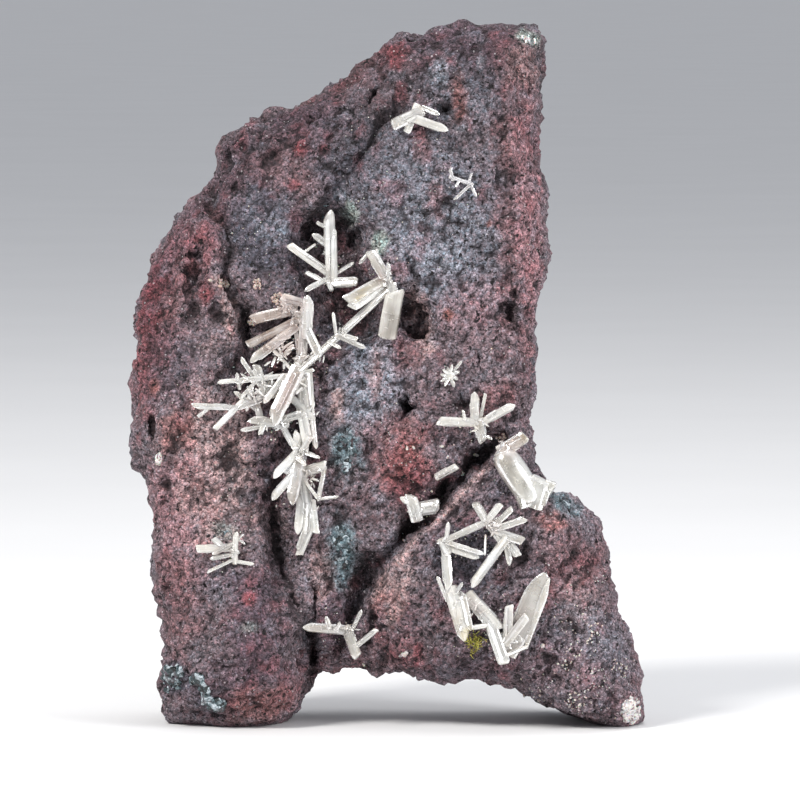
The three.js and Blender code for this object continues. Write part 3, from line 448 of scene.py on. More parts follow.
def wavy(slab):
    """The slab's places shifted a little, so that lines laid out on them come out uneven."""
    return slab + np.column_stack([0.55 * layered(slab, 3.0, seed) for seed in (31, 33)] + [np.zeros(len(slab))])


def ledges(slab, facing):
    """How far each point of the face moves back for its ledges."""
    uneven = wavy(slab)
    depth = np.zeros(len(slab))
    for height, reach, lip, trench, path in LEDGES:
        right, along, length = along_path(uneven, path)
        there = smooth(0, 2.0, along) * smooth(length, length - 2.0, along)
        lift = height * (smooth(-0.4, 0.3, right) - smooth(-reach, reach, right))
        lift += (lip * np.exp(-((right - LIP_PLACE) / LIP_WIDTH) ** 2)
                 - trench * np.exp(-((right + TRENCH_PLACE) / TRENCH_WIDTH) ** 2))
        depth -= lift * there
    return depth * smooth(0.1, 0.5, facing) * smooth(-1.0, -4.0, slab[:, 2])


def press(mesh, form):
    """Moves each point back by what `form` says for its place and for how much it faces the viewer."""
    places = points_of(mesh)
    facing = -(normals_of(mesh) @ np.array(INWARD))
    move_points(mesh, places + np.outer(form(slab_places(places), facing) * MM, np.array(INWARD)))


def relief(rock, name, kind, size, height, middle, group, ramp, settings):
    """Pushes the rock's skin out and in by a pattern."""
    texture = bpy.data.textures.new(name, kind)
    texture.noise_scale = size * MM
    for key, value in settings.items():
        setattr(texture, key, value)
    if ramp:
        texture.use_color_ramp = True
        for stop, (place, grey) in zip(texture.color_ramp.elements, ramp):
            stop.position = place
            stop.color = (grey, grey, grey, 1)
    apply_modifier(rock, "DISPLACE", texture=texture, strength=height * MM, mid_level=middle,
                   texture_coords="LOCAL", vertex_group=group)


def set_weights(rock, name, weights):
    """A group of the rock's points with their weights, rounded to a few steps."""
    group = rock.vertex_groups.new(name=name)
    steps = np.round(np.clip(weights, 0, 1) * WEIGHT_STEPS).astype(int)
    for step in np.unique(steps):
        group.add(np.nonzero(steps == step)[0].tolist(), step / WEIGHT_STEPS, "REPLACE")


def nudge_outline(mesh):
    """Draws the outline out or in where NUDGES says so, but not at the foot."""
    slab = slab_places(points_of(mesh))
    for u, v, reach, du, dv in NUDGES:
        near = np.exp(-((slab[:, 0] - u) ** 2 + (slab[:, 1] - v) ** 2) / reach ** 2)
        near *= smooth(0.0, 1.5, slab[:, 1])
        slab[:, 0] += du * near
        slab[:, 1] += dv * near
    move_points(mesh, on_slab(slab))


def refine_face(rock):
    """Splits the faces of the crystal side, so that it is finer than the back."""
    mesh = rock.data
    slab = slab_places(read(mesh.polygons, "center"))
    front = (read(mesh.polygons, "normal") @ np.array(INWARD) < -0.30) & (slab[:, 2] < -1)
    # chosen before and after the change to choosing by faces, which carries the first choice over to the edges
    mesh.polygons.foreach_set("select", front)
    work_on(rock)
    switch("EDIT")
    bpy.ops.mesh.select_mode(type="FACE")
    switch("OBJECT")
    mesh.polygons.foreach_set("select", front)
    switch("EDIT")
    bpy.ops.mesh.subdivide(number_cuts=1, smoothness=0)
    switch("OBJECT")


def weigh_skin(rock):
    """Where each relief works: the flat feet stay flat, and pits are deeper in some places than in others."""
    places = points_of(rock.data)
    slab = slab_places(places)
    loose = smooth(0.0002, 0.0018, places[:, 2])
    sideways = 1 - np.abs(normals_of(rock.data) @ np.array(INWARD))
    set_weights(rock, "loose", loose)
    set_weights(rock, "behind", loose * smooth(-4.0, 1.0, slab[:, 2]))
    set_weights(rock, "rim", loose * smooth(0.3, 0.8, sideways))
    set_weights(rock, "pitted", loose * (0.12 + 0.88 * smooth(-0.15, 0.5, layered(slab, 5.5, 21))))
    set_weights(rock, "broken", loose * (0.25 + 0.75 * smooth(-0.3, 0.4, layered(slab, 8.0, 25))))


# the gossan finish paints highlights on ridges and shade in pits from these marks
def mark_pits(mesh, places, behind):
    """Marks how deep each point lies below its surroundings, near and far; less so behind."""
    normals = normals_of(mesh)
    for name, rounds, deep, share in (("pit_near", SMALL_ROUNDS, SMALL_PIT, 1),
                                      ("pit_far", WIDE_ROUNDS, WIDE_PIT, 1 - 0.8 * behind)):
        below = np.einsum("ij,ij->i", evened(mesh, places, rounds) - places, normals) / (deep * MM)
        mark_points(mesh, name, np.clip(below, -1, 1) * share)


def rock_colours(slab, behind):
    """The colour of each point of the rock; `behind` is 0 on the face and 1 on the broken back."""
    colour = patchwork(slab, MAUVE, TINTS, 0.55, 40, 0.3)
    # painted shade lies soot-dark along the foot of each ledge, and a pale painted highlight lies along the crest of
    # the first
    uneven = wavy(slab)
    for n, (_, _, _, trench, path) in enumerate(LEDGES):
        right, along, length = along_path(uneven, path)
        there = smooth(0, 4, along) * smooth(length, length - 3, along)
        marks = [(-TRENCH_PLACE, 0.6, PAINTED_SHADE, 0.32 * trench * there)]
        if n == 0:
            marks.append((0.35, 0.32, BEIGE, 0.9 * there * smooth(6, 12, along)))
        for middle, width, paint, share in marks:
            colour = painted(colour, paint, share * np.exp(-((right - middle) / width) ** 2))
    # the broken back and sides are plain mauve with rust and ash
    plain = painted(np.asarray(MAUVE) * 0.9, RUST, smooth(-0.1, 0.5, layered(slab, 9, 90)) * 0.6)
    plain = painted(plain, np.asarray(STEEL) * 0.85, smooth(0.0, 0.5, layered(slab, 7, 95)) * 0.5)
    colour = painted(colour, plain, behind)
    # crumbs and grains differ a little, the top is painted darker as shade against the stronger light there, and red
    # and blue dust lies all over
    light = 1 + 0.3 * layered(slab, 2.6, 60) + 0.18 * (grain_numbers(slab, 0.9, 5) - 0.5)
    colour *= (light - 0.28 * smooth(58, 80, slab[:, 1]))[:, None]
    colour = painted(colour, BRICK, smooth(0.05, 0.5, layered(slab, 2.6, 66, 4)) * 0.35)
    colour = painted(colour, STEEL, smooth(0.05, 0.5, layered(slab, 2.2, 68, 4)) * 0.4)
    return np.clip(colour, 0.004, 1)


def gossan_slab():
    """The solid of the slab, given its ledges and its broken, porous skin."""
    rock = link("gossan_slab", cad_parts["matrix"].data.copy())
    mesh = rock.data
    mesh.materials.clear()
    work_on(rock)
    switch("EDIT")
    bpy.ops.mesh.select_all(action="SELECT")
    bpy.ops.mesh.remove_doubles(threshold=1e-6)
    switch("OBJECT")
    remesh(rock, FIRST_VOXEL, 3)
    press(mesh, ledges)
    remesh(rock, SECOND_VOXEL)
    nudge_outline(mesh)
    refine_face(rock)
    weigh_skin(rock)
    press(mesh, cracks_and_ridges)
    for row in RELIEFS:
        relief(rock, *row)

    places = points_of(mesh)
    places += normals_of(mesh) * (SKIN_LIFT * MM)
    places = np.clip(places, np.array(cad_low) - ROOM, np.array(cad_high) + ROOM)
    places[:, 2] = np.maximum(places[:, 2], 0)
    move_points(mesh, places)
    slab = slab_places(places)
    behind = smooth(-6.0, -2.0, slab[:, 2])
    mark_pits(mesh, places, behind)
    paint_points(mesh, "tint", rock_colours(slab, behind))
    shade_smooth(mesh)
    return rock


# ---- crystals ----

# Each blade is u, v and height of its root, u, v and height of its tip, its width and its thickness, in
# millimetres, and its profile where it isn't a pointed one. Heights are over its group's own plane, whose
# depth is the first number of the group.
BLADES = {
    "upper_twin": (-10.2, [
        (36.9, 77, 0.2, 33, 75.1, 1.2, 1.5, 0.8, "blunt"), (35.6, 76, 0.6, 40, 74.5, 0.9, 1.15, 0.6),
        (36.7, 77.4, 0.1, 38.9, 76.4, 1, 0.65, 0.45), (36.2, 77.8, 0, 34.8, 74.2, 0.3, 1, 0.6, "blunt"),
        (36.2, 76.2, 0.6, 36.4, 76.6, -3, 1.2, 1),
    ]),
    "upper_sprig": (-10.8, [
        (40.1, 68.75, 0.3, 43.2, 67.7, 0.5, 0.5, 0.4), (40.6, 68.2, 0.2, 40.2, 69.9, 0.8, 0.45, 0.35),
        (42.9, 67.9, 0.3, 40.7, 65.8, 0.6, 0.42, 0.35), (42.7, 67.9, 0.3, 43.5, 66.2, 0.5, 0.42, 0.35),
        (42, 68.1, 0.3, 42, 68, -2.2, 0.6, 0.6), (42.5, 67.9, 0.3, 42.9, 69.2, 0.9, 0.35, 0.3),
        (41.4, 68.3, 0.3, 40.9, 67.4, 0.8, 0.35, 0.3),
    ]),
    "upper_star": (-7.8, [
        (25.45, 55.3, 0.2, 25.15, 64.6, 2.6, 1.5, 1), (25.1, 62.3, 1.8, 23.6, 63.1, 2.1, 0.55, 0.45),
        (25.1, 60.2, 1.4, 23.1, 61.7, 1.8, 0.95, 0.5), (25.3, 56.7, 0.4, 20.2, 60.3, 2.2, 1.05, 0.7, "blunt"),
        (25.2, 56.2, 0.4, 22.1, 54.6, 1.8, 0.75, 0.5), (24.2, 55.9, 0.6, 22.3, 56.9, 1.6, 0.6, 0.4, "blunt"),
        (24.9, 55.6, 0.3, 28.7, 55.75, 1.6, 1.25, 0.8, "blunt"), (25, 56, 0.4, 25.5, 54.6, 1.4, 0.6, 0.5, "blunt"),
        (25.3, 56, 0.6, 25.6, 55.2, -5, 1.3, 1.1), (26, 56.7, 0.4, 28.3, 58.1, 1.8, 0.5, 0.4),
        (23.5, 60.4, 1.4, 22.1, 59.4, 1.8, 0.35, 0.3),
    ]),
    "central_spray": (-9.2, [
        (32.3, 56.1, 0.6, 30.2, 59.5, 2, 1.3, 0.6, "blunt"), (32.2, 56.1, 0.3, 27.3, 53.3, 2.4, 1.5, 0.5, "blunt"),
        (31.9, 55.3, 0.1, 27.9, 52.4, 2, 1.3, 0.45, "blunt"), (32.4, 54.4, 0.2, 29.1, 51.3, 1.6, 0.6, 0.5, "blunt"),
        (32.4, 48.6, 0.4, 33.4, 54.6, 1.2, 2.4, 1.5, "blunt"), (32.4, 55.6, 0.8, 33.2, 55.4, -3.5, 1.4, 1.2),
        (33, 55.6, 0.5, 33.3, 53.4, 0.7, 1.2, 0.9, "blunt"), (33, 55.2, 0.3, 21.3, 44.3, 1.9, 0.85, 0.7),
        (26, 49.1, 1.6, 29.7, 47.4, 2.2, 0.7, 0.4), (26.5, 49.2, 1.2, 28.7, 48.5, 2.4, 0.6, 0.4, "blunt"),
        (22.4, 48.6, 1.4, 22.75, 54, 3, 1.35, 0.9), (22.1, 50.6, 1.7, 24, 46.4, 1.6, 1.15, 0.9, "blunt"),
        (21.6, 51.1, 0.6, 15, 47.8, 1.5, 1.1, 0.6, "blunt"), (21.3, 50.2, 0.9, 15.3, 45.8, 1.8, 1.15, 0.55),
        (22.6, 52.9, 0.8, 19.3, 53.9, 1.2, 1, 0.6, "blunt"), (21.7, 51.2, 0.5, 19, 53.6, 1, 0.9, 0.6),
        (21.2, 52.6, 0.2, 19.6, 52.4, 0.9, 1.4, 0.9, "blunt"), (20.9, 52.2, -0.1, 15.6, 51, 0.8, 1.5, 1, "blunt"),
        (20.5, 44.1, 1.1, 11.3, 43.2, 1.6, 0.65, 0.5), (15.9, 43.8, 1.1, 14.2, 46.3, 2, 0.6, 0.4),
        (17, 42.3, 1, 16.1, 45.4, 1.4, 1.1, 0.5, "blunt"), (21.5, 45.2, 1.4, 18, 38, 2.6, 2, 1.3),
        (19.7, 44.2, 1.4, 17.1, 40.6, 2.4, 0.8, 0.6), (13.8, 40, 1.5, 8.1, 40.35, 2.7, 0.75, 0.5),
        (14.6, 41, 1.1, 11, 37.4, 2.4, 0.8, 0.7, "blunt"), (17.2, 41.2, 0.8, 13.7, 40, 1.6, 0.8, 0.5),
        (20.2, 37.9, 0.6, 15.1, 38.6, 1.4, 1.1, 0.8), (22.6, 44.8, -0.3, 22.9, 40, 0.6, 1, 0.8, "blunt"),
        (20.6, 41.2, 0.6, 23.4, 38.5, 1.2, 1, 0.5), (23, 39.4, 0.9, 23.55, 34.9, 1.4, 0.7, 0.55),
        (21.7, 40.2, 0.5, 22.5, 35.8, 1.3, 1.4, 0.8, "blunt"), (18.9, 38.5, 0.7, 21.3, 34.5, 1.3, 0.75, 0.6),
        (21.3, 34.4, 0.5, 21.2, 37.2, 1.2, 1.1, 0.7), (21.6, 34.5, 1.1, 22.9, 36.4, 2, 0.8, 0.5, "blunt"),
        (21.3, 34.6, 1, 18.2, 31.4, 2.2, 1.05, 0.7), (21.2, 32.2, 1.2, 18, 28.7, 2.6, 1.05, 0.8),
        (21.5, 34.2, 0.6, 20.4, 28, 2.2, 1.6, 1.1), (21.6, 31.8, 0.2, 24.8, 32.9, 1, 1.35, 0.7, "blunt"),
        (24.7, 32.8, 0.8, 23.8, 28.4, 1.6, 0.6, 0.5), (21.8, 29.4, 0.2, 21.3, 24.3, 0.9, 1.2, 0.6),
        (23, 28.6, 0.1, 23.5, 24.4, 0.8, 1.1, 0.6, "blunt"), (23.2, 25.9, 0.5, 21.4, 21.7, 1, 0.9, 0.6, "blunt"),
        (22.2, 52.8, 0.4, 21.6, 43.8, 0.9, 1.3, 1.3, "blunt"), (21.6, 45.6, 0.6, 22.4, 37.2, 0.4, 1.3, 1.3, "blunt"),
        (22.4, 38.6, 0.5, 21.5, 32.4, 0.5, 1.2, 1.2, "blunt"), (21.4, 33.8, 0.6, 22.8, 26.4, 0, 1.2, 1.2, "blunt"),
        (22, 42.6, 0.7, 16.8, 41.4, 0.9, 1.1, 0.9, "blunt"), (21.6, 46, 1, 21.6, 45, -5.5, 1.6, 1.4),
        (17.6, 41.8, 1, 17.6, 42, -5, 1.1, 1), (22.3, 37.8, 0.8, 23.2, 37.6, -5, 1.2, 1),
        (21.6, 33.2, 0.8, 22.2, 33, -5, 1.4, 1.2), (22.8, 27.4, 0.3, 23.4, 27.2, -4, 1.2, 1),
        (30.2, 59.4, 1.3, 28.9, 57.9, 1.5, 0.5, 0.4), (32.5, 55.8, 0.6, 32.6, 58.1, 1.8, 0.55, 0.4),
        (26.1, 48.9, 1.3, 25.7, 51.9, 2.6, 0.45, 0.35), (25, 48.3, 1.8, 26.7, 47.4, 2.4, 0.5, 0.4),
        (21.6, 44.2, 1.6, 23.3, 44.8, 2, 0.5, 0.4, "blunt"), (20.9, 50.6, 0.7, 21.5, 45.6, 1.1, 0.5, 0.4),
        (18, 47.7, 0.9, 20.6, 44.6, 1.3, 0.45, 0.4), (22.2, 47.4, 1.1, 21.4, 45.4, 1.8, 0.55, 0.4),
        (14.1, 42.3, 1, 13.7, 44.4, 2, 0.45, 0.35), (16.2, 43.4, 1.4, 14.2, 41.2, 2.2, 0.5, 0.4),
        (10.4, 40.1, 2.2, 8.9, 38.9, 2.6, 0.5, 0.4, "blunt"), (21.8, 34.5, 1, 24.1, 33.8, 1.8, 0.45, 0.4),
        (22, 31.2, 0.8, 23.9, 28.6, 1.8, 0.45, 0.4), (23.9, 28.7, 1.2, 26.4, 29, 1.8, 0.4, 0.35),
        (17.3, 38.9, 0.8, 16.6, 36.6, 1.6, 0.7, 0.5), (16.2, 40.6, 0.6, 16.8, 38, 1, 0.9, 0.6, "blunt"),
        (17.6, 37.9, 0.8, 14.2, 37.2, 1.6, 0.6, 0.4), (19.4, 46.4, 0.8, 20.8, 47.9, 1.8, 0.6, 0.4),
        (21, 33.9, 1.2, 22.4, 32.9, 2, 0.6, 0.5), (22.6, 28.2, 0.4, 22.3, 24.2, 1.1, 0.9, 0.5),
        (30.6, 58, 1.2, 31.1, 59.8, 1.8, 0.7, 0.5), (18.2, 43.4, 0.8, 16, 41, 1.2, 1, 0.4),
        (16.6, 39.5, 0.6, 13.4, 42.1, 1.2, 0.7, 0.5), (15.6, 42.4, 0.7, 14.8, 39.6, 1.4, 0.7, 0.5),
        (18.6, 38.3, 0.6, 22, 39.4, 0.9, 1, 0.6), (21.2, 33.2, 0.9, 19.6, 31.9, 1.4, 0.8, 0.6, "blunt"),
        (22.6, 26.2, 0.5, 21.2, 22.3, 1.2, 0.6, 0.45),
    ]),
    "small_rosette": (-9.9, [
        (40.2, 44, -2.5, 40.2, 44, 1, 1.3, 1.2, "blunt"), (40.2, 44, 0.3, 41.7, 45.9, 0.9, 0.4, 0.35),
        (40.2, 44, 0.3, 41.25, 43.6, 0.9, 0.5, 0.4), (40.2, 44, 0.3, 40.8, 42.6, 0.9, 0.55, 0.4),
        (40.2, 44, 0.3, 39, 44.1, 0.9, 0.5, 0.4), (40.2, 44, 0.3, 39.9, 45.1, 0.9, 0.5, 0.4),
        (40.2, 44, 0.3, 41.4, 44.6, 0.9, 0.5, 0.4), (40.2, 44, 0.3, 39.1, 43.3, 0.9, 0.5, 0.4),
        (40.2, 44, 0.5, 40.5, 45.4, 1.3, 0.4, 0.3), (40.2, 44, 0.5, 39.3, 44.8, 1.3, 0.4, 0.3),
        (40.2, 44, 0.5, 39.5, 42.7, 1.1, 0.4, 0.3),
    ]),
    "twin_star": (-9.8, [
        (43.6, 38.2, 0.6, 38.7, 38.4, 2, 1.2, 0.8, "blunt"), (43.3, 38.2, 0.6, 43.3, 42, 2.2, 1.15, 0.8),
        (44, 38.1, 0.5, 48.2, 40.5, 2.2, 1.05, 0.7), (43.7, 38.8, 0.7, 44.3, 35.8, 0.2, 1.3, 1, "blunt"),
        (43.9, 37.8, 0.7, 44.2, 37.2, -3.5, 1.3, 1.1), (42.1, 38.4, 1.4, 41.8, 39.8, 2.2, 0.4, 0.35),
        (44.2, 36.6, 0.3, 45.5, 36.2, 0.8, 0.5, 0.4), (44, 38.6, 0.5, 44.6, 41.8, 1.8, 0.45, 0.4, "blunt"),
    ]),
    "ledge_blade": (-9.6, [
        (38.4, 31.3, 0, 41.1, 32.8, 0.9, 0.95, 0.6, "blunt"), (38.8, 31.6, 0.3, 38.8, 31.4, -3, 0.7, 0.6),
    ]),
    "ledge_block": (-9.2, [
        (36.2, 25.9, 0.2, 35.3, 29.2, 1, 1.6, 1.1, "blunt"), (35.6, 28, 0.6, 34, 28.9, 1.2, 0.9, 0.6),
        (36.2, 27.4, 0.2, 38.9, 27.9, 0.8, 1.7, 1, "blunt"), (36, 27.4, 0.2, 36, 27.6, -6, 1.4, 1.2),
    ]),
    "glassy_prism": (-11.2, [
        (46.5, 34.6, 0.7, 50.6, 28.4, 1.1, 3.7, 2.6, "lump"), (50.5, 27.7, 0.3, 51.5, 31.3, 1.3, 2.7, 2.1, "blunt"),
        (51.5, 28.6, 0.6, 52.9, 30.9, 1.3, 1.4, 1.2, "blunt"), (46.2, 34.5, 0.2, 49.6, 36.5, 1.2, 1.7, 0.9, "blunt"),
        (48.2, 31.6, 0.6, 49.6, 27.6, 1.4, 1.8, 1.2, "blunt"), (46, 33.4, 0.6, 47.2, 35.4, 1.4, 1.2, 0.9, "blunt"),
        (46.8, 34.8, 0.4, 46.6, 35.9, 1.2, 0.6, 0.5), (48.6, 32, 0.4, 48.4, 32, -5, 2.2, 1.8),
    ]),
    "lobe_chain": (-12.1, [
        (45.4, 26.2, 0.3, 39.2, 23.4, 0.8, 0.9, 0.7), (44.8, 25.8, 0.4, 43.3, 28.3, 1.6, 1.05, 0.7, "blunt"),
        (44.7, 25.8, 0.5, 46.5, 28.1, 2, 0.85, 0.6, "blunt"), (45.4, 25.2, 0.4, 47.9, 27.6, 1.6, 0.85, 0.6, "blunt"),
        (45.6, 24.9, 0.4, 49.7, 26.3, 1.5, 0.9, 0.6), (46, 24.6, 0.3, 49.3, 23.5, 1.2, 1.25, 0.7, "blunt"),
        (47.3, 24, 0.6, 42.8, 17.9, 2.2, 1.15, 0.9), (46.9, 24.2, 0.3, 47.7, 20.5, 1, 0.8, 0.6),
        (47, 24.2, 0.1, 48.6, 21.6, 0.8, 1.1, 0.6, "blunt"), (44.6, 26.4, 0.1, 47.1, 23.1, 0.6, 1.25, 0.9, "blunt"),
        (46.2, 25, 0.2, 46.2, 25, -4.5, 1.3, 1.1), (39.6, 23.4, 0.6, 44.4, 21.9, 1.8, 0.62, 0.5),
        (39.5, 22.8, 0.2, 43.8, 21.4, 1.2, 0.85, 0.5), (39.5, 23.5, 0.1, 40.1, 17.4, 0.7, 1.1, 0.7),
        (39, 23.8, 0.2, 40, 21.8, 0.8, 1.1, 0.9, "blunt"), (39.6, 22.6, 0.3, 39.4, 22.6, -4, 1.1, 1),
        (40.2, 17.9, 0.2, 42.2, 11.2, 1, 1.9, 1.2), (41.6, 16.8, 0.4, 42.6, 12.4, 1.2, 1.2, 0.9),
        (42.2, 17, 0.1, 46.2, 12.6, 0.8, 1.8, 1.2, "blunt"), (45, 13.9, 0.5, 46.9, 8.3, 1.6, 1.55, 1.1, "blunt"),
        (47.2, 10.2, 0.6, 47.5, 15.6, 1.8, 1.15, 0.7, "blunt"), (46.9, 10.6, 0.9, 49.7, 14.3, 2.2, 1.1, 0.7, "blunt"),
        (47.6, 9.2, 0.2, 52, 19.6, 1.6, 3.3, 0.9, "leaf"), (49.6, 10.2, 0.5, 52.5, 19, 2, 1, 0.8, "leaf"),
        (42.4, 12.7, 0.6, 44.9, 13.1, 1.2, 0.6, 0.5), (45.9, 11.4, 0.4, 49.2, 11.6, 0.6, 1.4, 1.1, "blunt"),
        (46.6, 11.4, 0.6, 46.6, 11.4, -4.5, 1.4, 1.2), (41.4, 14.6, 0.4, 41.4, 14.6, -4, 1.5, 1.2),
        (39.6, 23, 0.5, 40, 25.9, 1.6, 0.5, 0.4), (39.9, 16, 0.3, 38.6, 19.2, 1.2, 0.48, 0.4),
        (40.8, 17, 0.6, 41.8, 18.4, 1.4, 0.5, 0.4), (47.2, 9.4, 1.2, 49.8, 10.5, 1.8, 0.5, 0.4),
        (44.6, 24.3, 0.6, 44.5, 21.7, 1, 0.3, 0.3),
    ]),
    "left_sprig": (-10.6, [
        (13.5, 20.6, 0.1, 13.65, 24.7, 1.4, 0.75, 0.5), (13.5, 21.9, 0.2, 10.4, 21.3, 1, 0.6, 0.4),
        (13.5, 23.3, 0.6, 10.7, 21.8, 1.2, 0.6, 0.4), (13.6, 22.7, 0.4, 8.7, 22.5, 0.8, 1.1, 0.5, "blunt"),
        (12.2, 22.5, 0.3, 10.8, 23.8, 0.9, 0.8, 0.5, "blunt"), (13.4, 21.6, 0.3, 13.4, 21.6, -3, 0.9, 0.8),
        (13.4, 21.2, 0.2, 10, 19.6, 0.8, 0.45, 0.4), (13.4, 21, 0, 15.9, 20.6, 0.7, 0.5, 0.4),
        (13.8, 23.8, 0.9, 14.8, 23.1, 1.2, 0.3, 0.3), (14, 23.8, 0.9, 14.6, 24.4, 1.3, 0.3, 0.3),
    ]),
    "foot_twin": (-7.7, [
        (27.8, 12.3, 0.4, 21.9, 12.8, 1.6, 1.2, 0.7), (27.2, 12.9, 0.5, 28.7, 9, 1.4, 1.35, 0.8, "blunt"),
        (28.4, 10.2, 0.9, 31.1, 12.5, 2, 0.65, 0.5, "blunt"), (25.3, 12.3, 0.9, 24.8, 14.1, 2, 0.7, 0.5),
        (25.9, 12.2, 0.9, 26.6, 13.4, 2, 0.55, 0.45), (27.7, 12, 0.6, 27.7, 12.4, -4.5, 1.2, 1),
        (28, 12.2, 0.5, 29.3, 14.9, 1.2, 0.5, 0.4),
    ]),
}

# Bunches of small crystals where blades meet: u, v, height, spread, how many, their length.
BUNCHES = {
    "upper_twin": [(36.4, 76.6, 0.3, 0.5, 8, 0.7)],
    "upper_sprig": [(42.4, 68, 0.3, 0.4, 7, 0.5)],
    "upper_star": [(25.2, 56, 0.6, 0.6, 14, 0.8), (25.2, 59.5, 1.2, 0.7, 8, 0.7)],
    "central_spray": [
        (32.4, 56, 0.9, 0.7, 14, 0.8), (26.6, 49.3, 1.5, 1.2, 12, 0.7), (22, 46, 1.4, 1.4, 26, 0.9),
        (21.2, 51.6, 1, 1.3, 22, 0.9), (19.4, 52.8, 0.7, 1, 16, 0.7), (17.4, 43.4, 1.2, 1.4, 16, 0.8),
        (16, 41.2, 1.1, 1.1, 22, 0.8), (18.9, 38.4, 1.1, 1.1, 22, 0.8), (22.6, 39.2, 0.9, 1.1, 20, 0.8),
        (21.9, 34.6, 1.2, 1, 20, 0.8), (22.6, 31.2, 0.9, 1, 16, 0.8), (22.6, 26.8, 0.6, 1, 12, 0.7),
        (12.9, 40, 1.5, 0.6, 8, 0.5), (15.2, 43.6, 1.2, 1.4, 16, 1.2), (19.4, 47.2, 1.3, 1.6, 22, 1.3),
        (21.6, 43.2, 1.4, 1, 14, 1.1), (23.6, 46.6, 1.2, 1, 12, 1.1),
    ],
    "twin_star": [(43.7, 38, 0.9, 0.7, 14, 0.7)],
    "ledge_block": [(36, 27.4, 0.7, 0.8, 10, 0.6)],
    "glassy_prism": [(47, 35, 0.8, 0.9, 12, 0.7), (51.2, 28.6, 1.3, 1, 7, 0.45)],
    "lobe_chain": [
        (45.4, 25.2, 0.8, 1, 20, 0.8), (39.6, 23.2, 0.7, 0.5, 12, 0.6), (41.2, 16.6, 0.8, 0.9, 22, 0.7),
        (41.9, 13.2, 0.9, 0.9, 20, 0.8), (43.8, 14.6, 0.9, 0.9, 12, 0.6), (46.8, 11.2, 1, 0.9, 16, 0.8),
        (48.2, 11.6, 1, 0.8, 8, 0.7),
    ],
    "left_sprig": [(13.2, 22.2, 0.5, 0.8, 16, 0.7)],
    "foot_twin": [(27.6, 12.2, 0.8, 0.6, 14, 0.7), (24.8, 12.6, 1, 0.9, 8, 0.5)],
}

SHOULDER = 0.78  # how far up a master crystal its end begins
# The end of a crystal: its length for a width of one, how much its cut slants and how much it leans sideways.
POINTED_END = (0.95, 0.5, 1)
BLUNT_END = (0.4, 0.9, 0.4)
SLANT, LEANING = 0.7, 0.22  # the most that ends slant and lean
LAMINA_WIDTHS = (0.42, 0.6, 0.85, 1.1, 1.5)  # a blade has one more lamina from each of these widths on

# The crystals that all others are copies of: how many sides, whether they are flattened, rings of points
# that only divide the sides, and the other rings from the foot to the tip: height, and share of the full
# width and thickness that is left there.
MASTERS = {
    "pointed": (12, True, (0.03, 0.2, 0.4, 0.6, SHOULDER), (
        (0, 0.7, 0.7), (0.86, 0.86, 0.9), (0.94, 0.56, 0.66), (1, 0.16, 0.26))),
    "blunt": (12, True, (0.03, 0.2, 0.4, 0.6, SHOULDER), ((0, 0.7, 0.7), (0.92, 0.97, 0.9), (1, 0.74, 0.5))),
    "leaf": (16, False, (), (
        (0, 0.5, 0.7), (0.06, 0.57, 0.85), (0.14, 0.66, 1), (0.24, 0.78, 1), (0.36, 0.89, 1), (0.48, 0.96, 1),
        (0.6, 1, 0.95), (0.7, 0.98, 0.85), (SHOULDER, 0.9, 0.74), (0.86, 0.75, 0.62), (0.92, 0.58, 0.5),
        (0.97, 0.36, 0.36), (1, 0.14, 0.2))),
    "lump": (14, False, (), (
        (0, 0.5, 0.5), (0.05, 0.74, 0.72), (0.14, 0.92, 0.9), (0.28, 1, 1), (0.5, 1.02, 1), (0.7, 0.98, 0.96),
        (0.86, 0.88, 0.84), (0.95, 0.7, 0.66), (1, 0.46, 0.44))),
    "needle": (6, False, (), ((0, 0.8, 0.8), (0.5, 1, 0.8), (SHOULDER, 0.9, 0.74), (1, 0.3, 0.3))),
    "hair": (5, False, (), ((0.3, 1, 1), (0.6, 0.85, 0.85), (0.85, 0.6, 0.6), (1, 0.2, 0.2))),
}
ROUNDED = "lump"  # the only master with rounded shoulders

# Unevenness of a crystal's growth from ring to ring and from edge to edge, for a width of one.
RING_STEPS, RING_WOBBLE = 40, 0.014
EDGE_STEPS, EDGE_WOBBLE = 50, 0.018
PATTERN_REACH = 37  # the crystals' growth patterns start at places up to this far apart

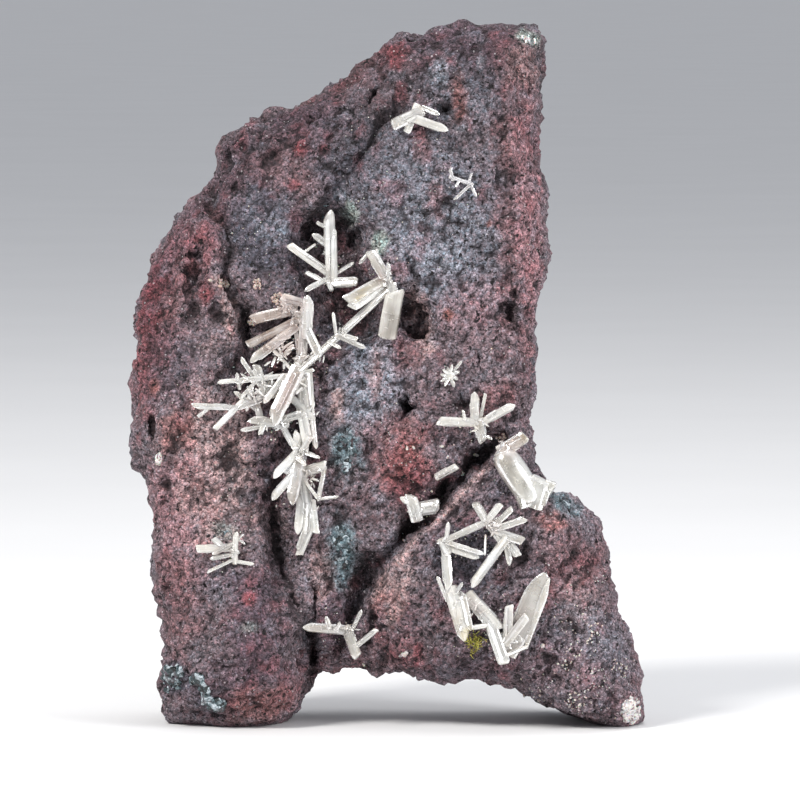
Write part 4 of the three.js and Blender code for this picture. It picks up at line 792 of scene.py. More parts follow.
# Where crystals are stained: u, v, half width, half height, turn, colour, share.
IVORY = (0.75, 0.72, 0.655)
HONEY = (0.56, 0.43, 0.24)
TAN = (0.40, 0.285, 0.225)
BLUSH = (0.62, 0.47, 0.42)
YOLK = (0.72, 0.52, 0.08)
SMOKE = (0.36, 0.32, 0.27)
SNOW = (0.90, 0.90, 0.89)
LILAC = (0.56, 0.53, 0.56)
PALE_SAGE = (0.70, 0.70, 0.62)
STAINS = [
    (18, 49.4, 3.6, 3.2, 20, TAN, 0.9), (20.6, 48.4, 2, 3, 0, BLUSH, 0.7), (20.4, 52.6, 2.4, 1.8, 0, BLUSH, 0.85),
    (16.6, 51.4, 2, 1.2, 20, TAN, 0.7), (19.8, 41.8, 0.9, 3.2, -25, BLUSH, 0.8),
    (16.4, 40.6, 1.6, 1.6, 0, BLUSH, 0.45), (22.4, 46.8, 1.4, 1.6, 0, BLUSH, 0.4), (23.2, 37, 0.8, 3, 0, BLUSH, 0.35),
    (22.4, 32.2, 1.4, 2.6, 0, TAN, 0.4), (21, 29.2, 0.9, 2.2, 0, TAN, 0.35), (23, 26.6, 1.4, 1.6, 0, PALE_SAGE, 0.4),
    (21.4, 22.6, 1, 1.8, 0, SMOKE, 0.4), (30, 54.6, 2.4, 1.4, 30, HONEY, 0.35),
    (28.6, 53.4, 0.5, 0.32, 30, YOLK, 0.95), (29.5, 54, 0.7, 0.25, 30, YOLK, 0.7),
    (29.6, 54.7, 0.5, 0.2, 30, YOLK, 0.6), (30.6, 57.6, 1, 2, 30, HONEY, 0.25), (33, 51, 1.6, 3, 0, SMOKE, 0.85),
    (31.6, 56.2, 0.8, 0.8, 0, BLUSH, 0.6), (40.8, 22, 1, 2, 0, HONEY, 0.18), (44.6, 24.4, 0.5, 1.6, 0, TAN, 0.6),
    (45.4, 25.2, 1.2, 1.2, 0, BLUSH, 0.35), (40.9, 14, 1.2, 1.6, 0, HONEY, 0.35), (42.2, 12, 0.8, 1.2, 0, YOLK, 0.4),
    (43.4, 15.4, 1.4, 1.2, -40, BLUSH, 0.35), (48.4, 13.4, 1.6, 2.6, 0, BLUSH, 0.25),
    (43.4, 37.6, 1, 1, 0, HONEY, 0.25), (47.9, 35.6, 2.2, 1.3, 30, BLUSH, 0.8),
    (49.6, 36.6, 1.2, 0.8, 40, HONEY, 0.5), (42, 67.8, 3, 3, 0, LILAC, 0.7), (36, 27, 1.2, 1, 0, PALE_SAGE, 0.3),
    (11.6, 22.4, 1.6, 1, 0, TAN, 0.35), (27.6, 11.6, 1, 1.2, 0, SMOKE, 0.35), (24.6, 12.6, 2.4, 0.6, 0, BLUSH, 0.2),
    (45, 21, 1.2, 3, 36, SNOW, 0.7), (12.8, 39.2, 1.4, 2, 45, SNOW, 0.6), (19.4, 31.8, 1.6, 2.4, 40, SNOW, 0.75),
    (22.8, 52, 0.9, 2.6, 0, SNOW, 0.5), (25.2, 61, 0.9, 3.6, 0, SNOW, 0.6), (51, 29.6, 1.6, 1.8, 0, SNOW, 0.85),
    (37.2, 26.8, 1.6, 0.9, 0, SNOW, 0.5), (19.2, 37.6, 1.6, 0.9, 0, SNOW, 0.5),
]


def start_master(name, add, **settings):
    """A plain body one unit wide, from which a master is shaped."""
    bpy.ops.object.select_all(action="DESELECT")
    add(radius=0.5, **settings)
    master = bpy.context.object
    master.name = name + "_master"
    return master


def squeeze(master, chosen, x, y, centre=(0, 0, 0)):
    """Draws in the points of a master whose places `chosen` says yes to, and leaves them selected."""
    switch("OBJECT")
    mesh = master.data
    mesh.polygons.foreach_set("select", np.zeros(len(mesh.polygons), bool))
    mesh.edges.foreach_set("select", np.zeros(len(mesh.edges), bool))
    mesh.vertices.foreach_set("select", chosen(points_of(mesh)))
    switch("EDIT")
    bpy.ops.transform.resize(value=(x, y, 1), center_override=centre)


def flatten_sides(crystal):
    """Two broad flat faces with a shallow groove along the middle of each, and narrow bevelled edges."""
    for place, x, y in ((0, 1, 0.86), (0.25, 1.08, 1.13), (0.433, 1.1, 1.25)):
        squeeze(crystal, lambda p: np.abs(np.abs(p[:, 0]) - place) < 0.05, x, y)


def master_crystal(name):
    """An upright crystal one unit long and wide."""
    sides, flat, rings, shape = MASTERS[name]
    crystal = start_master(name, bpy.ops.mesh.primitive_cylinder_add, vertices=sides, depth=1, location=(0, 0, 0.5))
    bpy.ops.object.transform_apply(location=True, rotation=True, scale=True)
    switch("EDIT")
    bpy.ops.mesh.select_mode(type="VERT")
    for height in (*rings, *(height for height, _, _ in shape if 0 < height < 1)):
        bpy.ops.mesh.select_all(action="SELECT")
        bpy.ops.mesh.bisect(plane_co=(0, 0, height), plane_no=(0, 0, 1))
    if flat:
        flatten_sides(crystal)
    for height, x, y in shape:
        squeeze(crystal, lambda p: np.abs(p[:, 2] - height) < 0.004, x, y)
    bpy.ops.mesh.select_all(action="SELECT")
    bpy.ops.mesh.normals_make_consistent(inside=False)
    switch("OBJECT")
    crystal.data.uv_layers[0].name = "growth"
    if name == ROUNDED:
        work_on(crystal)
        bpy.ops.object.shade_smooth_by_angle(angle=math.radians(32))
    return crystal


def blade_axes(root, tip, roll):
    """Along, broad and thin directions of a blade on the slab's face, its broad side to the viewer."""
    along = np.asarray(tip, float) - root
    length = np.linalg.norm(along)
    along = along / length
    toward = np.array((0, 0, 1.0)) if abs(along[2]) < 0.9 else np.array((0, 1.0, 0))
    broad = np.cross(along, toward)
    broad /= np.linalg.norm(broad)
    thin = np.cross(along, broad)
    broad, thin = broad * math.cos(roll) + thin * math.sin(roll), thin * math.cos(roll) - broad * math.sin(roll)
    return along, broad, thin, length


def lay_crystal(master, root, tip, width, thick, roll, dice, end=None):
    """A copy of a master crystal with its root and tip at two places on the slab, in millimetres."""
    crystal = link("crystal", master.data.copy())
    mesh = crystal.data
    p = points_of(mesh)
    along, broad, thin, length = blade_axes(root, tip, roll)
    long, slant, sway = BLUNT_END if master.name.startswith("blunt") else POINTED_END
    end = end or min(width * long, length * 0.6)
    body = np.minimum(p[:, 2], SHOULDER) / SHOULDER * (length - end)
    above = np.maximum(p[:, 2] - SHOULDER, 0) / (1 - SHOULDER)
    up = body + above * end
    if master.name.startswith(("leaf", "lump")):
        up, above = p[:, 2] * length, above * 0
    up += above * p[:, 0] * width * dice.uniform(-SLANT, SLANT) * slant
    lean = dice.uniform(-LEANING, LEANING) * sway
    across = (p[:, 0] + above * lean) * width
    deep = p[:, 1] * thick
    wobble = dice.normal(0, RING_WOBBLE, RING_STEPS + 1)[np.round(p[:, 2] * RING_STEPS).astype(int)]
    side = np.round(np.arctan2(p[:, 1], p[:, 0]) * 8).astype(int) % EDGE_STEPS
    edge = dice.normal(0, EDGE_WOBBLE, EDGE_STEPS)[side]
    across = across * (1 + wobble + edge)
    deep = deep * (1 + wobble * 1.5 + edge)
    places = np.asarray(root) + np.outer(up, along) + np.outer(across, broad) + np.outer(deep, thin)
    move_points(mesh, on_slab(places))

    # each crystal has its own part of the growth pattern, and knows how far up its points are
    own = dice.random() * PATTERN_REACH
    corners = read(mesh.loops, "vertex_index", 1, np.int64)[:, 0]
    spread = np.column_stack((across + deep * 0.6 + own, up + own * 1.7))[corners]
    mesh.uv_layers["growth"].data.foreach_set("uv", spread.ravel())
    grown = np.clip(up / length, 0, 1)
    paint_points(mesh, "habit", np.column_stack((np.full(len(p), own / PATTERN_REACH), grown, np.zeros(len(p)))))
    return crystal


def laminae(row, plane, dice):
    """The side-by-side crystals that one blade is made of: root, tip, width, thickness, roll and profile."""
    u0, v0, h0, u1, v1, h1, width, thick = row[:8]
    profile = row[8] if len(row) > 8 else "pointed"
    root, tip = np.array((u0, v0, plane - h0)), np.array((u1, v1, plane - h1))
    roll = dice.uniform(-0.35, 0.35) * (profile != "leaf")
    along, broad, thin, length = blade_axes(root, tip, roll)
    parts = [(root, tip, width * 0.94, thick, roll, profile)]
    if profile in ("leaf", "lump"):
        return parts
    for n in range(1 + sum(width > least for least in LAMINA_WIDTHS)):
        start, stop = dice.uniform(0, 0.35), dice.uniform(0.55, 0.97)
        share = dice.uniform(0.28, 0.62)
        side = (1 if n % 2 else -1) * dice.uniform(0.1, 0.56 - share * 0.5) * width
        out = dice.choice((-1, 1, -1)) * dice.uniform(0.08, 0.3) * thick
        twist = dice.normal(0, 0.03)
        a = root + along * length * start + broad * side + thin * out
        b = root + along * length * stop + broad * (side + twist * length * 0.4) + thin * out
        parts.append((a, b, width * share, thick * dice.uniform(0.5, 0.85), roll + dice.normal(0, 0.12), profile))
    return parts


def bunch(u, v, height, spread, count, length, plane, dice):
    """Short crystals that stand out of a middle in all directions towards the viewer."""
    parts = []
    for _ in range(count):
        root = np.array((u, v, plane - height)) + dice.normal(0, spread * 0.5, 3) * (1, 1, 0.4)
        way = dice.normal(0, 1, 3) * (1, 1, 0.7)
        way[2] = -abs(way[2])
        reach = length * dice.uniform(0.45, 1.4)
        tip = root + way / np.linalg.norm(way) * reach
        width = min(reach * dice.uniform(0.2, 0.42), 0.4)
        parts.append((root, tip, width, width * dice.uniform(0.6, 0.9), dice.uniform(-1, 1), "needle"))
    return parts


def crystal_piece(group, masters, seed, finish):
    """All crystals of one group, joined into one stained piece."""
    plane, rows = BLADES[group]
    dice = np.random.default_rng(seed)
    blades = [part for row in rows for part in laminae(row, plane, dice)]
    for hub in BUNCHES.get(group, []):
        blades += bunch(*hub, plane, dice)
    parts = [lay_crystal(masters[profile], *blade, dice) for *blade, profile in blades]
    piece = join_pieces("crystals_" + group, parts)
    slab = slab_places(points_of(piece.data))
    paint_points(piece.data, "stain", np.clip(patchwork(slab, IVORY, STAINS, 0.5, 300), 0, 1))
    dress(piece, finish, "cerussite", "cerussite_" + group)


# ---- finishes ----

class Finish:
    """A surface finish with short ways to add its nodes."""

    def __init__(self, name):
        self.material = bpy.data.materials.new(name)
        self.material.use_nodes = True
        self.tree = self.material.node_tree
        self.shader = self.tree.nodes["Principled BSDF"]
        self.places = self.add("TexCoord").outputs["Object"]

    def add(self, kind, sockets=None, **settings):
        node = self.tree.nodes.new("ShaderNode" + kind)
        for key, value in settings.items():
            setattr(node, key, value)
        for key, value in (sockets or {}).items():
            self.feed(node.inputs[key], value)
        return node

    def feed(self, socket, value):
        if isinstance(value, bpy.types.NodeSocket):
            self.tree.links.new(value, socket)
        elif isinstance(value, tuple) and len(value) == 3 and socket.type == "RGBA":
            socket.default_value = (*value, 1)
        else:
            socket.default_value = value

    def surface(self, **sockets):
        for key, value in sockets.items():
            self.feed(self.shader.inputs[key.replace("_", " ")], value)

    def pattern(self, places, scale, detail=2.0, roughness=0.5, warp=0.0):
        return self.add("TexNoise", {"Vector": places, "Scale": scale, "Detail": detail, "Roughness": roughness,
                                     "Distortion": warp}).outputs["Fac"]

    def noise(self, per_mm, *shape):
        return self.pattern(self.places, per_mm / MM, *shape)

    def grains(self, per_mm, output="Color"):
        return self.add("TexVoronoi", {"Vector": self.places, "Scale": per_mm / MM}).outputs[output]

    def parts(self, colour):
        """Red, green and blue of a colour, which serve as numbers of their own."""
        return self.add("SeparateColor", {"Color": colour}).outputs

    def ramp(self, value, *stops):
        node = self.add("ValToRGB", {"Fac": value})
        elements = node.color_ramp.elements
        while len(elements) < len(stops):
            elements.new(0.5)
        for element, (place, colour) in zip(elements, stops):
            element.position = place
            element.color = (*colour, 1)
        return node.outputs["Color"]

    def between(self, value, low, high, to_low=0.0, to_high=1.0):
        return self.add("MapRange", {"Value": value, "From Min": low, "From Max": high, "To Min": to_low,
                                     "To Max": to_high}).outputs["Result"]

    def reckon(self, kind, a, b, clamp=False):
        node = self.add("Math", operation=kind, use_clamp=clamp)
        self.feed(node.inputs[0], a)
        self.feed(node.inputs[1], b)
        return node.outputs["Value"]

    def times(self, a, b):
        return self.reckon("MULTIPLY", a, b)

    def plus(self, a, b, clamp=False):
        return self.reckon("ADD", a, b, clamp)

    def mix(self, share, a, b, kind="MIX"):
        # sockets 6 and 7 and output 2 are the ones for colours
        node = self.add("Mix", data_type="RGBA", blend_type=kind, clamp_result=False)
        self.feed(node.inputs["Factor"], share)
        self.feed(node.inputs[6], a)
        self.feed(node.inputs[7], b)
        return node.outputs[2]

    def tinted(self, colour, tint):
        return self.mix(1.0, colour, tint, "MULTIPLY")

    def shade(self, colour, value):
        """The colour with each of its parts multiplied by a value."""
        return self.add("VectorMath", {"Vector": colour, "Scale": value}, operation="SCALE").outputs["Vector"]

    def mark(self, name, output="Fac"):
        return self.add("Attribute", attribute_name=name).outputs[output]

    def bump(self, height, depth_mm, strength=1.0, under=None):
        node = self.add("Bump", {"Height": height, "Distance": depth_mm * MM, "Strength": strength})
        if under:
            self.feed(node.inputs["Normal"], under)
        return node.outputs["Normal"]


def gossan_finish():
    f = Finish("rough_gossan")
    grains_per_mm, sparks_per_mm = 2.7, 1.9
    pit_near, pit_far = f.mark("pit_near"), f.mark("pit_far")
    own = f.parts(f.grains(grains_per_mm))
    rims = f.grains(grains_per_mm, "Distance")
    fine = f.noise(3.6, 3.0, 0.62)
    grit = f.noise(6.5, 1.0, 0.5)
    pores = f.noise(1.25, 3.0, 0.62, 0.2)
    specks = f.noise(2.6, 2.0, 0.55)

    # every grain is a little lighter or darker and warmer or cooler than the next
    light = f.times(f.between(own["Red"], 0, 1, 0.76, 1.8), f.between(fine, 0.3, 0.7, 0.45, 1.7))
    light = f.times(light, f.between(grit, 0.3, 0.7, 0.68, 1.36))
    colour = f.shade(f.mark("tint", "Color"), light)
    colour = f.mix(f.between(own["Green"], 0.4, 1, 0, 0.6), colour, f.tinted(colour, (1.2, 0.94, 0.92)))
    colour = f.mix(f.between(own["Blue"], 0.4, 1, 0, 0.7), colour, f.tinted(colour, (0.84, 1.06, 1.12)))

    # ridges get a painted highlight, and painted shade darkens the hollows, the gaps between grains and the pores;
    # near-black specks lie here and there
    colour = f.mix(f.between(pit_near, -0.2, -1.0, 0, 0.4), colour, f.shade(colour, 1.7))
    hollow = f.reckon("MAXIMUM", f.between(pit_near, 0.25, 1.0, 0, 0.9), f.between(pit_far, 0.12, 0.9))
    colour = f.mix(f.times(hollow, 0.82), colour, tone(32, 24, 27))
    colour = f.mix(f.between(rims, 0.44, 0.7, 0, 0.4), colour, f.shade(colour, 0.35))
    colour = f.mix(f.between(pores, 0.42, 0.34), colour, tone(24, 18, 20))
    colour = f.mix(f.between(specks, 0.39, 0.32, 0, 0.9), colour, tone(14, 10, 12))

    # sparse bright crystal faces
    chosen = f.between(f.parts(f.grains(sparks_per_mm))["Red"], 0.84, 0.88)
    spark = f.times(f.between(f.grains(sparks_per_mm, "Distance"), 0.26, 0.16), chosen)
    colour = f.mix(f.times(spark, 0.65), colour, tone(206, 198, 200))
    height = f.reckon("SUBTRACT", f.plus(f.times(fine, 0.9), f.times(pores, 0.7)), f.times(rims, 0.8))
    f.surface(Base_Color=colour, Roughness=f.reckon("SUBTRACT", 0.8, f.times(spark, 0.5)), Specular_IOR_Level=0.4,
              Normal=f.bump(height, 0.6))
    return f.material


def cerussite_finish(name, clear, milk, tint=None):
    """Glossy striped crystal: `clear` lets light through and `milk` scatters it inside."""
    f = Finish(name)
    habit = f.parts(f.mark("habit", "Color"))
    growth = f.add("UVMap", uv_map="growth").outputs["UV"]
    lengthwise, steps = (f.add("Mapping", {"Vector": growth, "Scale": scale}).outputs["Vector"]
                         for scale in ((6.0, 0.4, 1.0), (1.4, 2.6, 1.0)))
    striae = f.pattern(lengthwise, 1.0)
    breaks = f.pattern(steps, 1.0, 1.0)
    cloud = f.noise(0.5, 1.0)

    colour = f.shade(f.mark("stain", "Color"), f.between(striae, 0.25, 0.75, 0.74, 0.97))
    colour = f.mix(f.between(cloud, 0.40, 0.60, 0, 0.25), colour, (0.80, 0.80, 0.785))
    foot = f.between(habit["Green"], 0.34, 0.0, 0, 0.35)
    colour = f.mix(foot, colour, f.tinted(colour, (0.84, 0.76, 0.73)))
    colour = f.mix(f.between(habit["Red"], 0, 1, 0, 0.3), colour, f.tinted(colour, (0.9, 0.87, 0.86)))
    if tint:
        colour = f.tinted(colour, tint)
    clearness = f.plus(f.between(cloud, 0.35, 0.65, 0.1, -0.1), f.between(habit["Red"], 0, 1, -0.15, 0.3))
    f.surface(Base_Color=colour, Roughness=f.between(breaks, 0.3, 0.7, 0.11, 0.29),
              Transmission_Weight=f.plus(clearness, clear, clamp=True), IOR=1.95, Subsurface_Weight=milk,
              Subsurface_Radius=(1.0, 0.92, 0.8), Subsurface_Scale=0.7 * MM,
              Normal=f.bump(breaks, 0.12, 0.25, f.bump(striae, 0.05, 0.3)))
    return f.material


def teal_finish():
    f = Finish("teal_crust")
    beads_per_mm = 1.7
    own = f.parts(f.grains(beads_per_mm))
    fine = f.noise(3.4, 3.0, 0.6)
    colour = f.ramp(f.times(own["Red"], fine), (0.04, tone(18, 26, 28)), (0.2, tone(50, 66, 70)),
                    (0.34, tone(104, 122, 128)), (0.47, tone(196, 206, 212)))
    colour = f.mix(f.between(f.noise(1.0), 0.58, 0.64, 0, 0.5), colour, tone(84, 64, 68))
    beads = f.plus(f.times(f.grains(beads_per_mm, "Distance"), -1.6), fine)
    f.surface(Base_Color=colour, Roughness=f.between(own["Green"], 0, 1, 0.1, 0.4), Coat_Weight=0.25,
              Coat_Roughness=0.08, Normal=f.bump(beads, 0.35))
    return f.material


def drusy_finish(name, pale, dark, milk=0.3):
    """Tiny pale crystals with dark gaps between them."""
    f = Finish(name)
    own = f.parts(f.grains(2.6))
    fine = f.noise(3.0, 3.0, 0.6)
    colour = f.mix(f.between(own["Red"], 0.0, 1.0), pale, f.mix(0.5, pale, dark))
    colour = f.mix(f.between(fine, 0.46, 0.36), colour, dark)
    f.surface(Base_Color=colour, Roughness=f.between(own["Green"], 0, 1, 0.15, 0.55), Subsurface_Weight=milk,
              Subsurface_Scale=0.4 * MM, Normal=f.bump(f.plus(fine, own["Blue"]), 0.2))
    return f.material


# ---- crusts, grains and moss on the gossan ----

# Where each crust lies: u, v, half width, half height, turn, how many grapes, their size.
TEAL_CRUSTS = [
    (5.6, 6.3, 1.4, 2, -14, 60, 0.8), (8.7, 6.3, 0.9, 0.6, 0, 26, 0.95), (9.9, 4.2, 0.7, 1.5, 14, 30, 0.85),
    (11.1, 3, 1, 1.1, 0, 26, 1.1), (26.8, 22.6, 1.2, 3.2, 6, 90, 0.55), (27.3, 34.4, 1.4, 2.6, 0, 80, 0.5),
    (54.7, 28.3, 1.1, 0.7, -36, 26, 0.45), (24.9, 64.6, 0.9, 1, 40, 14, 0.4), (11.9, 24.2, 1.2, 0.6, 10, 18, 0.4),
]

SNOW_CRUSTS = [
    (62.8, 2.3, 1.3, 1.7, 0, 130, 0.6), (50.2, 86, 1.2, 0.6, -10, 40, 0.35), (51.9, 83.4, 0.4, 0.9, 0, 12, 0.3),
    (4, 33.6, 0.35, 0.9, 0, 26, 0.6),
]

ROSY_CRUSTS = [
    (12, 55.5, 0.6, 0.5, 0, 24, 0.7), (16.2, 55.3, 0.4, 0.8, 0, 20, 0.65), (10.4, 55.9, 0.2, 0.2, 0, 6, 0.45),
    (18.9, 53.6, 0.8, 0.8, 0, 30, 0.6), (15.9, 51, 0.9, 0.5, 25, 26, 0.6), (15.9, 40.4, 0.9, 0.7, 0, 24, 0.4),
    (18.3, 37.5, 0.8, 0.6, 0, 22, 0.4), (46.6, 36.3, 0.7, 0.5, 30, 18, 0.45),
]

CRUST_VOXEL = 0.15

# Where loose white grains are thick: u, v, spread, how many, size.
GRAIN_FIELDS = [
    (20.5, 46, 5, 90, 0.26), (20, 38, 3, 50, 0.26), (22, 28, 2.6, 36, 0.24), (31, 55, 3.2, 30, 0.24),
    (25, 58, 3.2, 26, 0.22), (43.5, 38, 3.2, 30, 0.24), (49.5, 31, 3, 30, 0.28), (44.5, 23, 4, 44, 0.24),
    (46.5, 13, 4.6, 60, 0.26), (27, 12, 3, 28, 0.24), (12.5, 22.4, 2.8, 40, 0.24), (37, 27, 2.6, 20, 0.24),
    (40.2, 44, 1.6, 14, 0.2), (36.6, 76, 3, 16, 0.2), (42, 67, 2.4, 18, 0.2), (37, 62, 8, 46, 0.18),
    (55, 12, 6, 70, 0.26), (56, 3.5, 1.3, 26, 0.4), (54.9, 8.4, 1.6, 16, 0.36), (58, 12, 1.6, 14, 0.36),
    (61.6, 7.5, 1.6, 24, 0.36), (58.5, 5, 3.6, 40, 0.28), (50.8, 3.8, 2, 26, 0.36), (58.6, 18.3, 1, 6, 0.3),
    (13, 30, 8, 36, 0.18), (10, 45, 6, 30, 0.18), (34, 36, 5, 30, 0.18), (50, 60, 3, 26, 0.18), (16, 60, 5, 30, 0.2),
    (33, 78, 7, 26, 0.18),
]

# Single grains that are easy to see: u, v, size.
LARGE_GRAINS = [
    (34.9, 35, 0.7), (34.2, 9.3, 1.3), (34.8, 9.6, 0.9), (34.6, 23.4, 0.5), (41.9, 31.8, 0.8), (43.2, 34.2, 0.9),
    (43.9, 34, 0.9), (45.4, 47.4, 0.4), (35.6, 35.1, 0.55), (39, 35.2, 0.6), (39.8, 33.8, 0.5), (41.9, 31.7, 0.7),
    (42.3, 31.3, 0.5), (51.6, 10.5, 1.1), (29.4, 8, 0.5), (15.6, 26.4, 0.4), (52.4, 20.6, 0.4), (18.6, 55, 0.35),
    (8.3, 41, 0.4), (37.9, 29.7, 0.45), (33.5, 40.6, 0.35), (31.2, 57.5, 0.4), (33.6, 58.6, 0.45), (49.9, 36.9, 0.5),
    (4, 66, 0.4), (55.2, 18, 0.35), (28.9, 65.8, 0.3), (47.6, 47.6, 0.3),
]

LEAST_FACING = 0.25  # how much the skin has to look at the viewer where a grain lies
MOST_TURN = 6  # how far a grape or a grain is turned at most, in radians

# The yellow moss: middle and spread along u and along v, and how many hairs.
MOSS_SEAT = ((43.3, 0.45), (10.9, 0.5))
HAIRS = 90


class Skin:
    """The finished skin of the gossan, asked where it is behind a place on the face."""

    def __init__(self, rock):
        mesh = rock.data
        corners = [tuple(polygon.vertices) for polygon in mesh.polygons]
        self.tree = BVHTree.FromPolygons([tuple(p) for p in points_of(mesh)], corners)

    def at(self, u, v):
        start = Vector(on_slab([(u, v, VIEW_DEPTH)])[0])
        place, normal, _, _ = self.tree.ray_cast(start, INWARD)
        return (None, None) if place is None else (np.array(place), np.array(normal))


def settle_on(master, place, normal, size, turn, lean, dice):
    """A copy of a small master piece set on the skin, standing along a mix of its normal and the view."""
    bit = link("bit", master.data.copy())
    up = Vector(normal) * (1 - lean) - INWARD * lean
    up = (up + Vector(dice.normal(0, 0.25, 3))).normalized()
    turned = up.to_track_quat("Z", "Y").to_matrix() @ Matrix.Rotation(turn, 3, "Z")
    p = points_of(bit.data) * (np.asarray(size) * MM)
    move_points(bit.data, p @ np.array(turned).T + place)
    return bit


def bead_master():
    """A rounded grape of crust with a flattened foot."""
    bead = start_master("bead", bpy.ops.mesh.primitive_ico_sphere_add, subdivisions=2)
    squeeze(bead, lambda p: p[:, 2] < -0.2, 0.85, 0.85)
    bpy.ops.transform.resize(value=(1, 1, 0.4), center_override=(0, 0, -0.2))
    switch("OBJECT")
    return bead


def grain_master():
    """A chunky broken crystal of a few faces."""
    grain = start_master("grain", bpy.ops.mesh.primitive_cylinder_add, vertices=5, depth=1)
    squeeze(grain, lambda p: p[:, 2] > 0.4, 0.5, 0.72, (0.08, 0, 0))
    bpy.ops.transform.translate(value=(0.12, 0.05, 0))
    squeeze(grain, lambda p: p[:, 2] < -0.4, 0.8, 0.9)
    switch("OBJECT")
    return grain


def crust(name, patches, master, skin, seed, finish, slot, voxel=None):
    """Grapes scattered over patches of the skin, grown together if a voxel size in millimetres is given."""
    dice = np.random.default_rng(seed)
    beads = []
    for u, v, across, up, turn, count, size in patches:
        angle = math.radians(turn)
        for _ in range(count):
            reach, way = math.sqrt(dice.random()), dice.random() * math.tau
            a, b = across * reach * math.cos(way), up * reach * math.sin(way)
            place, normal = skin.at(u + a * math.cos(angle) - b * math.sin(angle),
                                    v + a * math.sin(angle) + b * math.cos(angle))
            if place is None:
                continue
            bulk = size * dice.uniform(0.55, 1.15)
            shape = (bulk, bulk, bulk * 0.8)
            beads.append(settle_on(master, place, normal, shape, dice.random() * MOST_TURN, 0.3, dice))
    piece = join_pieces(name, beads)
    if voxel:
        remesh(piece, voxel, 2)
        shade_smooth(piece.data)
    dress(piece, finish, slot)


def grains(name, master, skin, seed, finish):
    """Loose grains scattered over the skin where it looks at the viewer."""
    dice = np.random.default_rng(seed)
    seats = list(LARGE_GRAINS)
    for u, v, spread, count, size in GRAIN_FIELDS:
        for _ in range(count):
            seats.append((u + dice.normal(0, spread * 0.5), v + dice.normal(0, spread * 0.5),
                          size * dice.uniform(0.55, 1.4)))
    bits = []
    for u, v, size in seats:
        place, normal = skin.at(u, v)
        if place is None or -np.dot(normal, INWARD) < LEAST_FACING:
            continue
        shape = (size, size * dice.uniform(0.5, 0.9), size * dice.uniform(0.8, 1.7))
        bits.append(settle_on(master, place, normal, shape, dice.random() * MOST_TURN, 0.4, dice))
    dress(join_pieces(name, bits), finish, "cerussite")


def moss(name, master, skin, seed, finish):
    """A tuft of yellow-green hairs under the lowest crystals."""
    dice = np.random.default_rng(seed)
    hairs = []
    for _ in range(HAIRS):
        place, _ = skin.at(*(dice.normal(*seat) for seat in MOSS_SEAT))
        if place is None:
            continue
        u0, v0, d0 = slab_places(place)[0]
        way = dice.uniform(0, math.tau)
        reach = dice.uniform(0.3, 0.8)
        tip = (u0 + math.cos(way) * reach, v0 + math.sin(way) * reach, d0 - dice.uniform(0.1, 0.9))
        hairs.append(lay_crystal(master, (u0, v0, d0 + 0.15), tip, 0.13, 0.11, 0, dice, end=0.2))
    dress(join_pieces(name, hairs), finish, "gossan")


# ---- making it ----

rock = gossan_slab()
dress(rock, gossan_finish(), "gossan", "matrix")
skin = Skin(rock)

masters = {name: master_crystal(name) for name in MASTERS}
milky = cerussite_finish("milky_cerussite", 0.30, 0.5)
glassy = cerussite_finish("glassy_cerussite", 0.66, 0.24, (0.93, 0.93, 0.90))
for seed, group in enumerate(BLADES, 100):
    crystal_piece(group, masters, seed, glassy if group == "glassy_prism" else milky)

bead, grain = bead_master(), grain_master()
snowy = drusy_finish("snowy_druse", tone(232, 228, 224), tone(120, 104, 104))
rosy = drusy_finish("rosy_druse", tone(214, 192, 180), tone(130, 104, 98))
white = drusy_finish("grain_white", tone(222, 216, 210), tone(170, 156, 148))
yellow = drusy_finish("moss_yellow", tone(206, 198, 104), tone(128, 124, 48), 0.1)
crust("teal_crust", TEAL_CRUSTS, bead, skin, 11, teal_finish(), "gossan", CRUST_VOXEL)
crust("snow_crust", SNOW_CRUSTS, bead, skin, 12, snowy, "cerussite", CRUST_VOXEL)
crust("rosy_crust", ROSY_CRUSTS, grain, skin, 13, rosy, "cerussite")
grains("white_grains", grain, skin, 14, white)
moss("yellow_moss", masters["hair"], skin, 15, yellow)
for master in (*masters.values(), bead, grain):
    bpy.data.objects.remove(master)


# ---- floor, light and camera ----

LIGHT_AIM = (0, 0, 0.045)  # the middle of the specimen, in metres
CAMERA_AWAY = 0.9


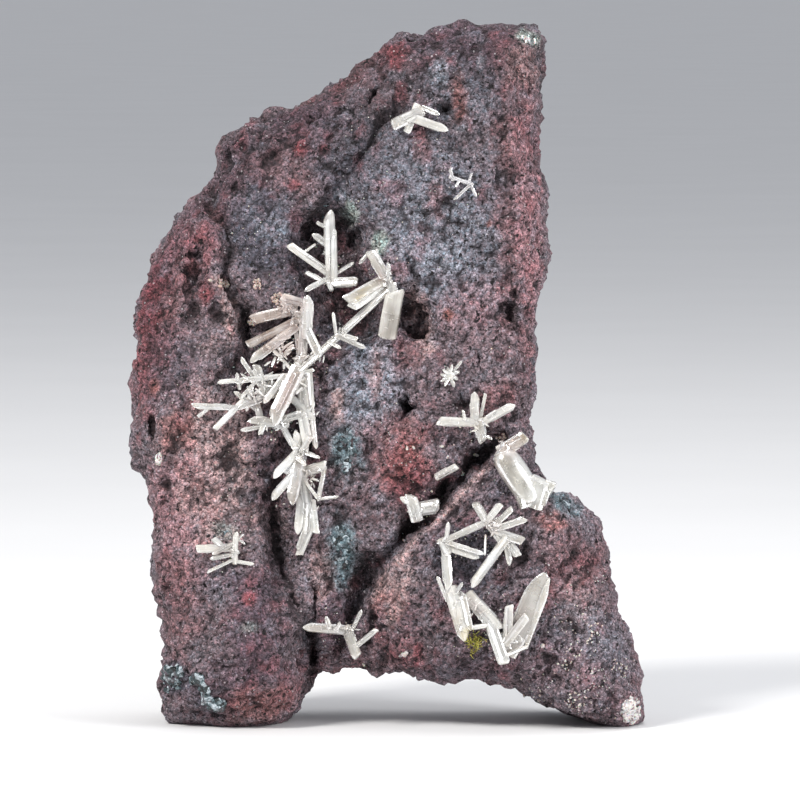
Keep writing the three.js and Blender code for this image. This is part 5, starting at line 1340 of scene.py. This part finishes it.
def pale_floor():
    """A wide round table top, pale all over."""
    bpy.ops.object.select_all(action="DESELECT")
    bpy.ops.mesh.primitive_circle_add(vertices=96, radius=14, fill_type="NGON", location=(0, 0, 0))
    top = bpy.context.object
    top.name = "pale_floor"
    switch("EDIT")
    bpy.ops.mesh.select_all(action="SELECT")
    bpy.ops.mesh.extrude_region_move(TRANSFORM_OT_translate={"value": (0, 0, -0.02)})
    bpy.ops.mesh.select_all(action="SELECT")
    bpy.ops.mesh.normals_make_consistent(inside=False)
    switch("OBJECT")
    f = Finish("pale_paper")
    paper = f.ramp(f.noise(0.02), (0.0, (0.76, 0.755, 0.75)), (1.0, (0.80, 0.795, 0.79)))
    f.surface(Base_Color=paper, Roughness=0.7)
    top.data.materials.append(f.material)


def soft_light(name, place, size, watts, colour=(1, 1, 1)):
    """A square light aimed at the middle of the specimen."""
    lamp = bpy.data.lights.new(name, "AREA")
    lamp.shape = "RECTANGLE"
    lamp.size = lamp.size_y = size
    lamp.energy = watts
    lamp.color = colour
    ob = link(name, lamp)
    ob.location = place
    ob.rotation_euler = (Vector(LIGHT_AIM) - Vector(place)).to_track_quat("-Z", "Y").to_euler()


pale_floor()
soft_light("key", (-0.44, -0.46, 0.60), 0.22, 6.9, (1.0, 0.985, 0.96))
soft_light("fill", (0.64, -0.42, 0.34), 0.34, 4.8, (0.97, 0.98, 1.0))
soft_light("top", (0.1, 0.15, 0.75), 0.5, 2.0)

world = bpy.data.worlds.new("studio")
world.use_nodes = True
world.node_tree.nodes["Background"].inputs["Color"].default_value = (0.9, 0.93, 1.0, 1)
world.node_tree.nodes["Background"].inputs["Strength"].default_value = 0.54
bpy.context.scene.world = world
bpy.context.scene.view_settings.view_transform = "Standard"

# the camera looks straight at the leaning face
lens = bpy.data.cameras.new("camera")
lens.sensor_width = 36
lens.lens = 324
lens.clip_start, lens.clip_end = 0.05, 20
camera = link("camera", lens)
aim = Vector(on_slab([(34, 41, -5)])[0])
upward = Vector(on_slab([(0, 1, 0)])[0] - on_slab([(0, 0, 0)])[0]).normalized()
facing = Matrix((Vector((1, 0, 0)), upward, -INWARD)).transposed()
camera.matrix_world = Matrix.LocRotScale(aim - INWARD * CAMERA_AWAY, facing.to_quaternion(), None)
bpy.context.scene.camera = camera
